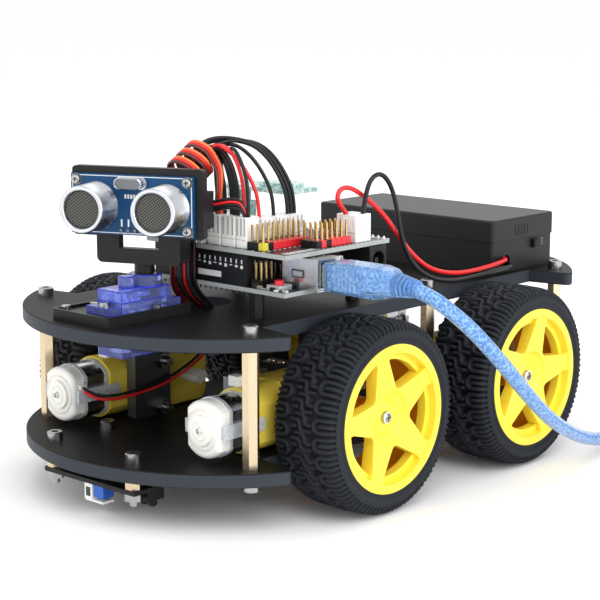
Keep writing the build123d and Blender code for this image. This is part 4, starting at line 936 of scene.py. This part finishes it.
def make_end_plug(m):
    """The plug on the cable's far end, lying by its coil."""
    x, s = COIL_AT[0] + COIL_R, Shape("usb-end-body")
    s.block(x - 6.0, x + 6.0, 59.0, 87.0, 0.0, 8.0, m["usb"])
    s.block(x - 4.6, x + 4.6, 61.0, 83.0, 1.0, 7.0, m["braid"])
    s.block(x - 5.9, x + 5.9, 45.0, 60.0, 1.8, 6.2, m["steel"])
    # Painted shade: dark patches for the holes in the metal tip and for its open end.
    for side in (-2.6, 2.6):
        s.block(x + side - 1.0, x + side + 1.0, 50.0, 52.2, 6.15, 6.22, m["recess"])
    s.block(x - 5.3, x + 5.3, 44.95, 45.3, 2.3, 5.7, m["recess"])
    return s.done("chassis", "usb_end_plug", bevel=0.8)


def make_battery_leads(m):
    """The red and the black lead from the battery box to the shield."""
    held_wire("battery-red", RED_ROUTE, 1.7, m["lead_red"], "battery_lead_red")
    held_wire("battery-black", BLACK_ROUTE, 1.7, m["lead_black"], "battery_lead_black")


def beside(points, dx, dy, dz):
    """The same line, moved."""
    return [(x + dx, y + dy, z + dz) for x, y, z in points]


def packed(count):
    """Places for wires side by side in a round bundle, in wire diameters from its middle."""
    places = [(0.0, 0.0)] + [(math.cos(a), math.sin(a)) for a in [math.pi * k / 3 for k in range(6)]]
    places += [(2 * math.cos(a), 2 * math.sin(a)) for a in [math.pi * (k + 0.5) / 3 for k in range(6)]]
    return places[:count]


def jumper_route(end, spot, rear):
    """One jumper from its connector over the top, through the winding and down through the plate."""
    x, y, z = end
    ox, oy = (c * 1.12 * JUMPER_D for c in spot)
    if rear:
        arch = [(x - 0.6, y - 1.4, z + 10.4), (x - 3.8, y - 6.0, z + 20.0), (x - 8.6, y - 10.8, z + 25.2),
                (9.6 + ox, -58.2 + oy, 123.4 - oy), (6.0 + ox, -64.6 + oy, 119.4 - oy)]
    else:
        span = x - 9.0
        arch = [(9 + 0.92 * span, y + 0.8, 104.5 + 0.5 * span), (9 + 0.62 * span, y + 1.0, 111.5 + 0.62 * span),
                (8.6 + ox + 0.12 * span, -60.2 + oy, 121.0 - oy + 0.1 * span), (6.2 + ox, -64.8 + oy, 119.2 - oy)]
    turn = (5.0 + ox, -70.6 + oy, 113.0 - 0.6 * oy)
    return [(x, y, z - 1.6), (x, y, z + 3.0)] + arch + [turn] + beside(TRUNK, ox, oy, 0)


def make_jumpers(m):
    """The jumpers, each its own wire, packed round in the bundle and fanned out to their connectors."""
    ends = [(e, c, False) for e, c in zip(FRONT_ENDS, FRONT_COLORS)]
    ends += [(e, c, True) for e, c in zip(REAR_ENDS, REAR_COLORS)]
    for n, ((end, color, rear), spot) in enumerate(zip(ends, packed(len(ends)))):
        nodes = {0: ["harness_front"], len(ends) - 1: ["harness_rear"]}.get(n, [])
        held_wire(f"jumper-{n + 1}", jumper_route(end, spot, rear), JUMPER_D, m["lead_" + color], *nodes)


def winding(turns, per=14):
    """The servo lead's turns round the bundle."""
    along = Vector(SERVO_ALONG).normalized()
    side = along.cross(Vector((0, 0, 1))).normalized()
    up = side.cross(along)
    points = []
    for k in range(int(turns * per) + 1):
        a = math.radians(200) - 2 * math.pi * k / per
        at = Vector(SERVO_COIL) + along * (-0.6 + SERVO_PITCH * k / per)
        points.append(tuple(at + (side * math.cos(a) + up * math.sin(a)) * SERVO_R * 1.02))
    return points


def make_servo_lead(m):
    """Three thin wires side by side, wound round the jumpers."""
    along = Vector(SERVO_ALONG).normalized()
    route = SERVO_START + winding(SERVO_TURNS) + SERVO_END
    for n, color in enumerate(("orange", "red", "brown")):
        shift = along * 1.12 * (1 - n)
        nodes = ["servo_lead", "servo_lead_coil"] if n == 0 else []
        held_wire("servo-wire-" + color, beside(route, *shift), SERVO_D, m["lead_" + color], *nodes)


def make_motor_leads(m):
    """A red and a black wire from each motor."""
    for corner, (sx, sy) in CORNERS.items():
        route = [(sx * x, -sy * y, z) for x, y, z in MOTOR_ROUTE]
        for color, dx, dz in (("red", 0.35, -0.5), ("black", -0.35, 0.65)):
            nodes = ["motor_leads"] if (corner, color) == ("fl", "red") else []
            held_wire(f"motor-{corner}-{color}", beside(route, dx, 0, dz), MOTOR_D, m["lead_" + color], *nodes)


def spline_line(points):
    """The smooth line that a cord's control points give, in millimetres."""
    curve, _ = wire("line", points, 0.0, None, None)
    mesh = bpy.data.meshes.new_from_object(curve)
    line = [tuple(v.co / MM) for v in mesh.vertices]
    bpy.data.objects.remove(curve)
    return line


def make_sonar_lead(m):
    """The sensor's four wires."""
    line = spline_line(SONAR_ROUTE)
    s = Shape("sonar-wires")
    for n, color in enumerate(("lead_black", "lead_black", "lead_red", "lead_black")):
        s.tube(beside(line, 0, 0, 1.0 * (n - 1.5)), 0.5, m[color])
    obj = s.done(None, "sonar_lead")
    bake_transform(obj)


# Stage

def make_stage():
    """A wide pale floor, four soft lights and a bright room."""
    floor = Surface("paper", (0.995, 0.995, 0.995), 0.9).mottle(3, 0.85, 0.95).material
    mesh = bpy.data.meshes.new("floor")
    mesh.from_pydata([(-60, -60, 0), (60, -60, 0), (60, 60, 0), (-60, 60, 0)], [], [(0, 1, 2, 3)])
    mesh.materials.append(floor)
    for name, at, aim, size, power in (
        ("key", (0.75, -0.55, 1.15), (0, 0, 0.05), 0.9, 6),
        ("fill", (-0.25, -1.15, 0.45), (0, 0, 0.06), 0.9, 2.5),
        ("side", (1.2, 0.15, 0.4), (0, 0, 0.05), 0.9, 7),
        ("back", (-0.5, 0.9, 0.9), (0, 0, 0.05), 0.9, 2.5),
    ):
        data = bpy.data.lights.new(name, "AREA")
        data.shape = "SQUARE"
        data.size = size
        data.energy = power
        lamp = placed(name, data)
        lamp.location = at
        lamp.rotation_euler = (Vector(at) - Vector(aim)).to_track_quat("Z", "Y").to_euler()
    world = bpy.data.worlds.new("room")
    world.use_nodes = True
    world.node_tree.nodes["Background"].inputs["Color"].default_value = (1, 1, 1, 1)
    world.node_tree.nodes["Background"].inputs["Strength"].default_value = 1.0
    bpy.context.scene.world = world
    bpy.context.scene.view_settings.view_transform = "Standard"
    placed("floor", mesh)


def make_camera():
    """The camera, made first because the cords are judged by what it sees."""
    a, e = math.radians(CAMERA_ROUND), math.radians(CAMERA_UP)
    back = Vector((math.sin(a) * math.cos(e), -math.cos(a) * math.cos(e), math.sin(e)))
    right = Vector((math.cos(a), math.sin(a), 0))
    up = back.cross(right)
    data = bpy.data.cameras.new("camera")
    data.lens = CAMERA_LENS
    data.sensor_width = 36
    data.clip_start, data.clip_end = 0.05, 200
    camera = placed("camera", data)
    turn = Matrix((right, up, back)).transposed().to_4x4()
    camera.matrix_world = Matrix.Translation(Vector(CAMERA_AT) * MM) @ turn
    bpy.context.scene.camera = camera


materials = make_materials()
make_camera()
for make in (paint, make_usb, make_battery_leads, make_jumpers, make_servo_lead, make_motor_leads, make_sonar_lead,
             make_tyres, make_hub_screws, make_sonar, make_servo, make_motor_details, make_controller, make_shield,
             make_pins, make_driver, make_line_sensor, make_box_details):
    make(materials)
make_stage()
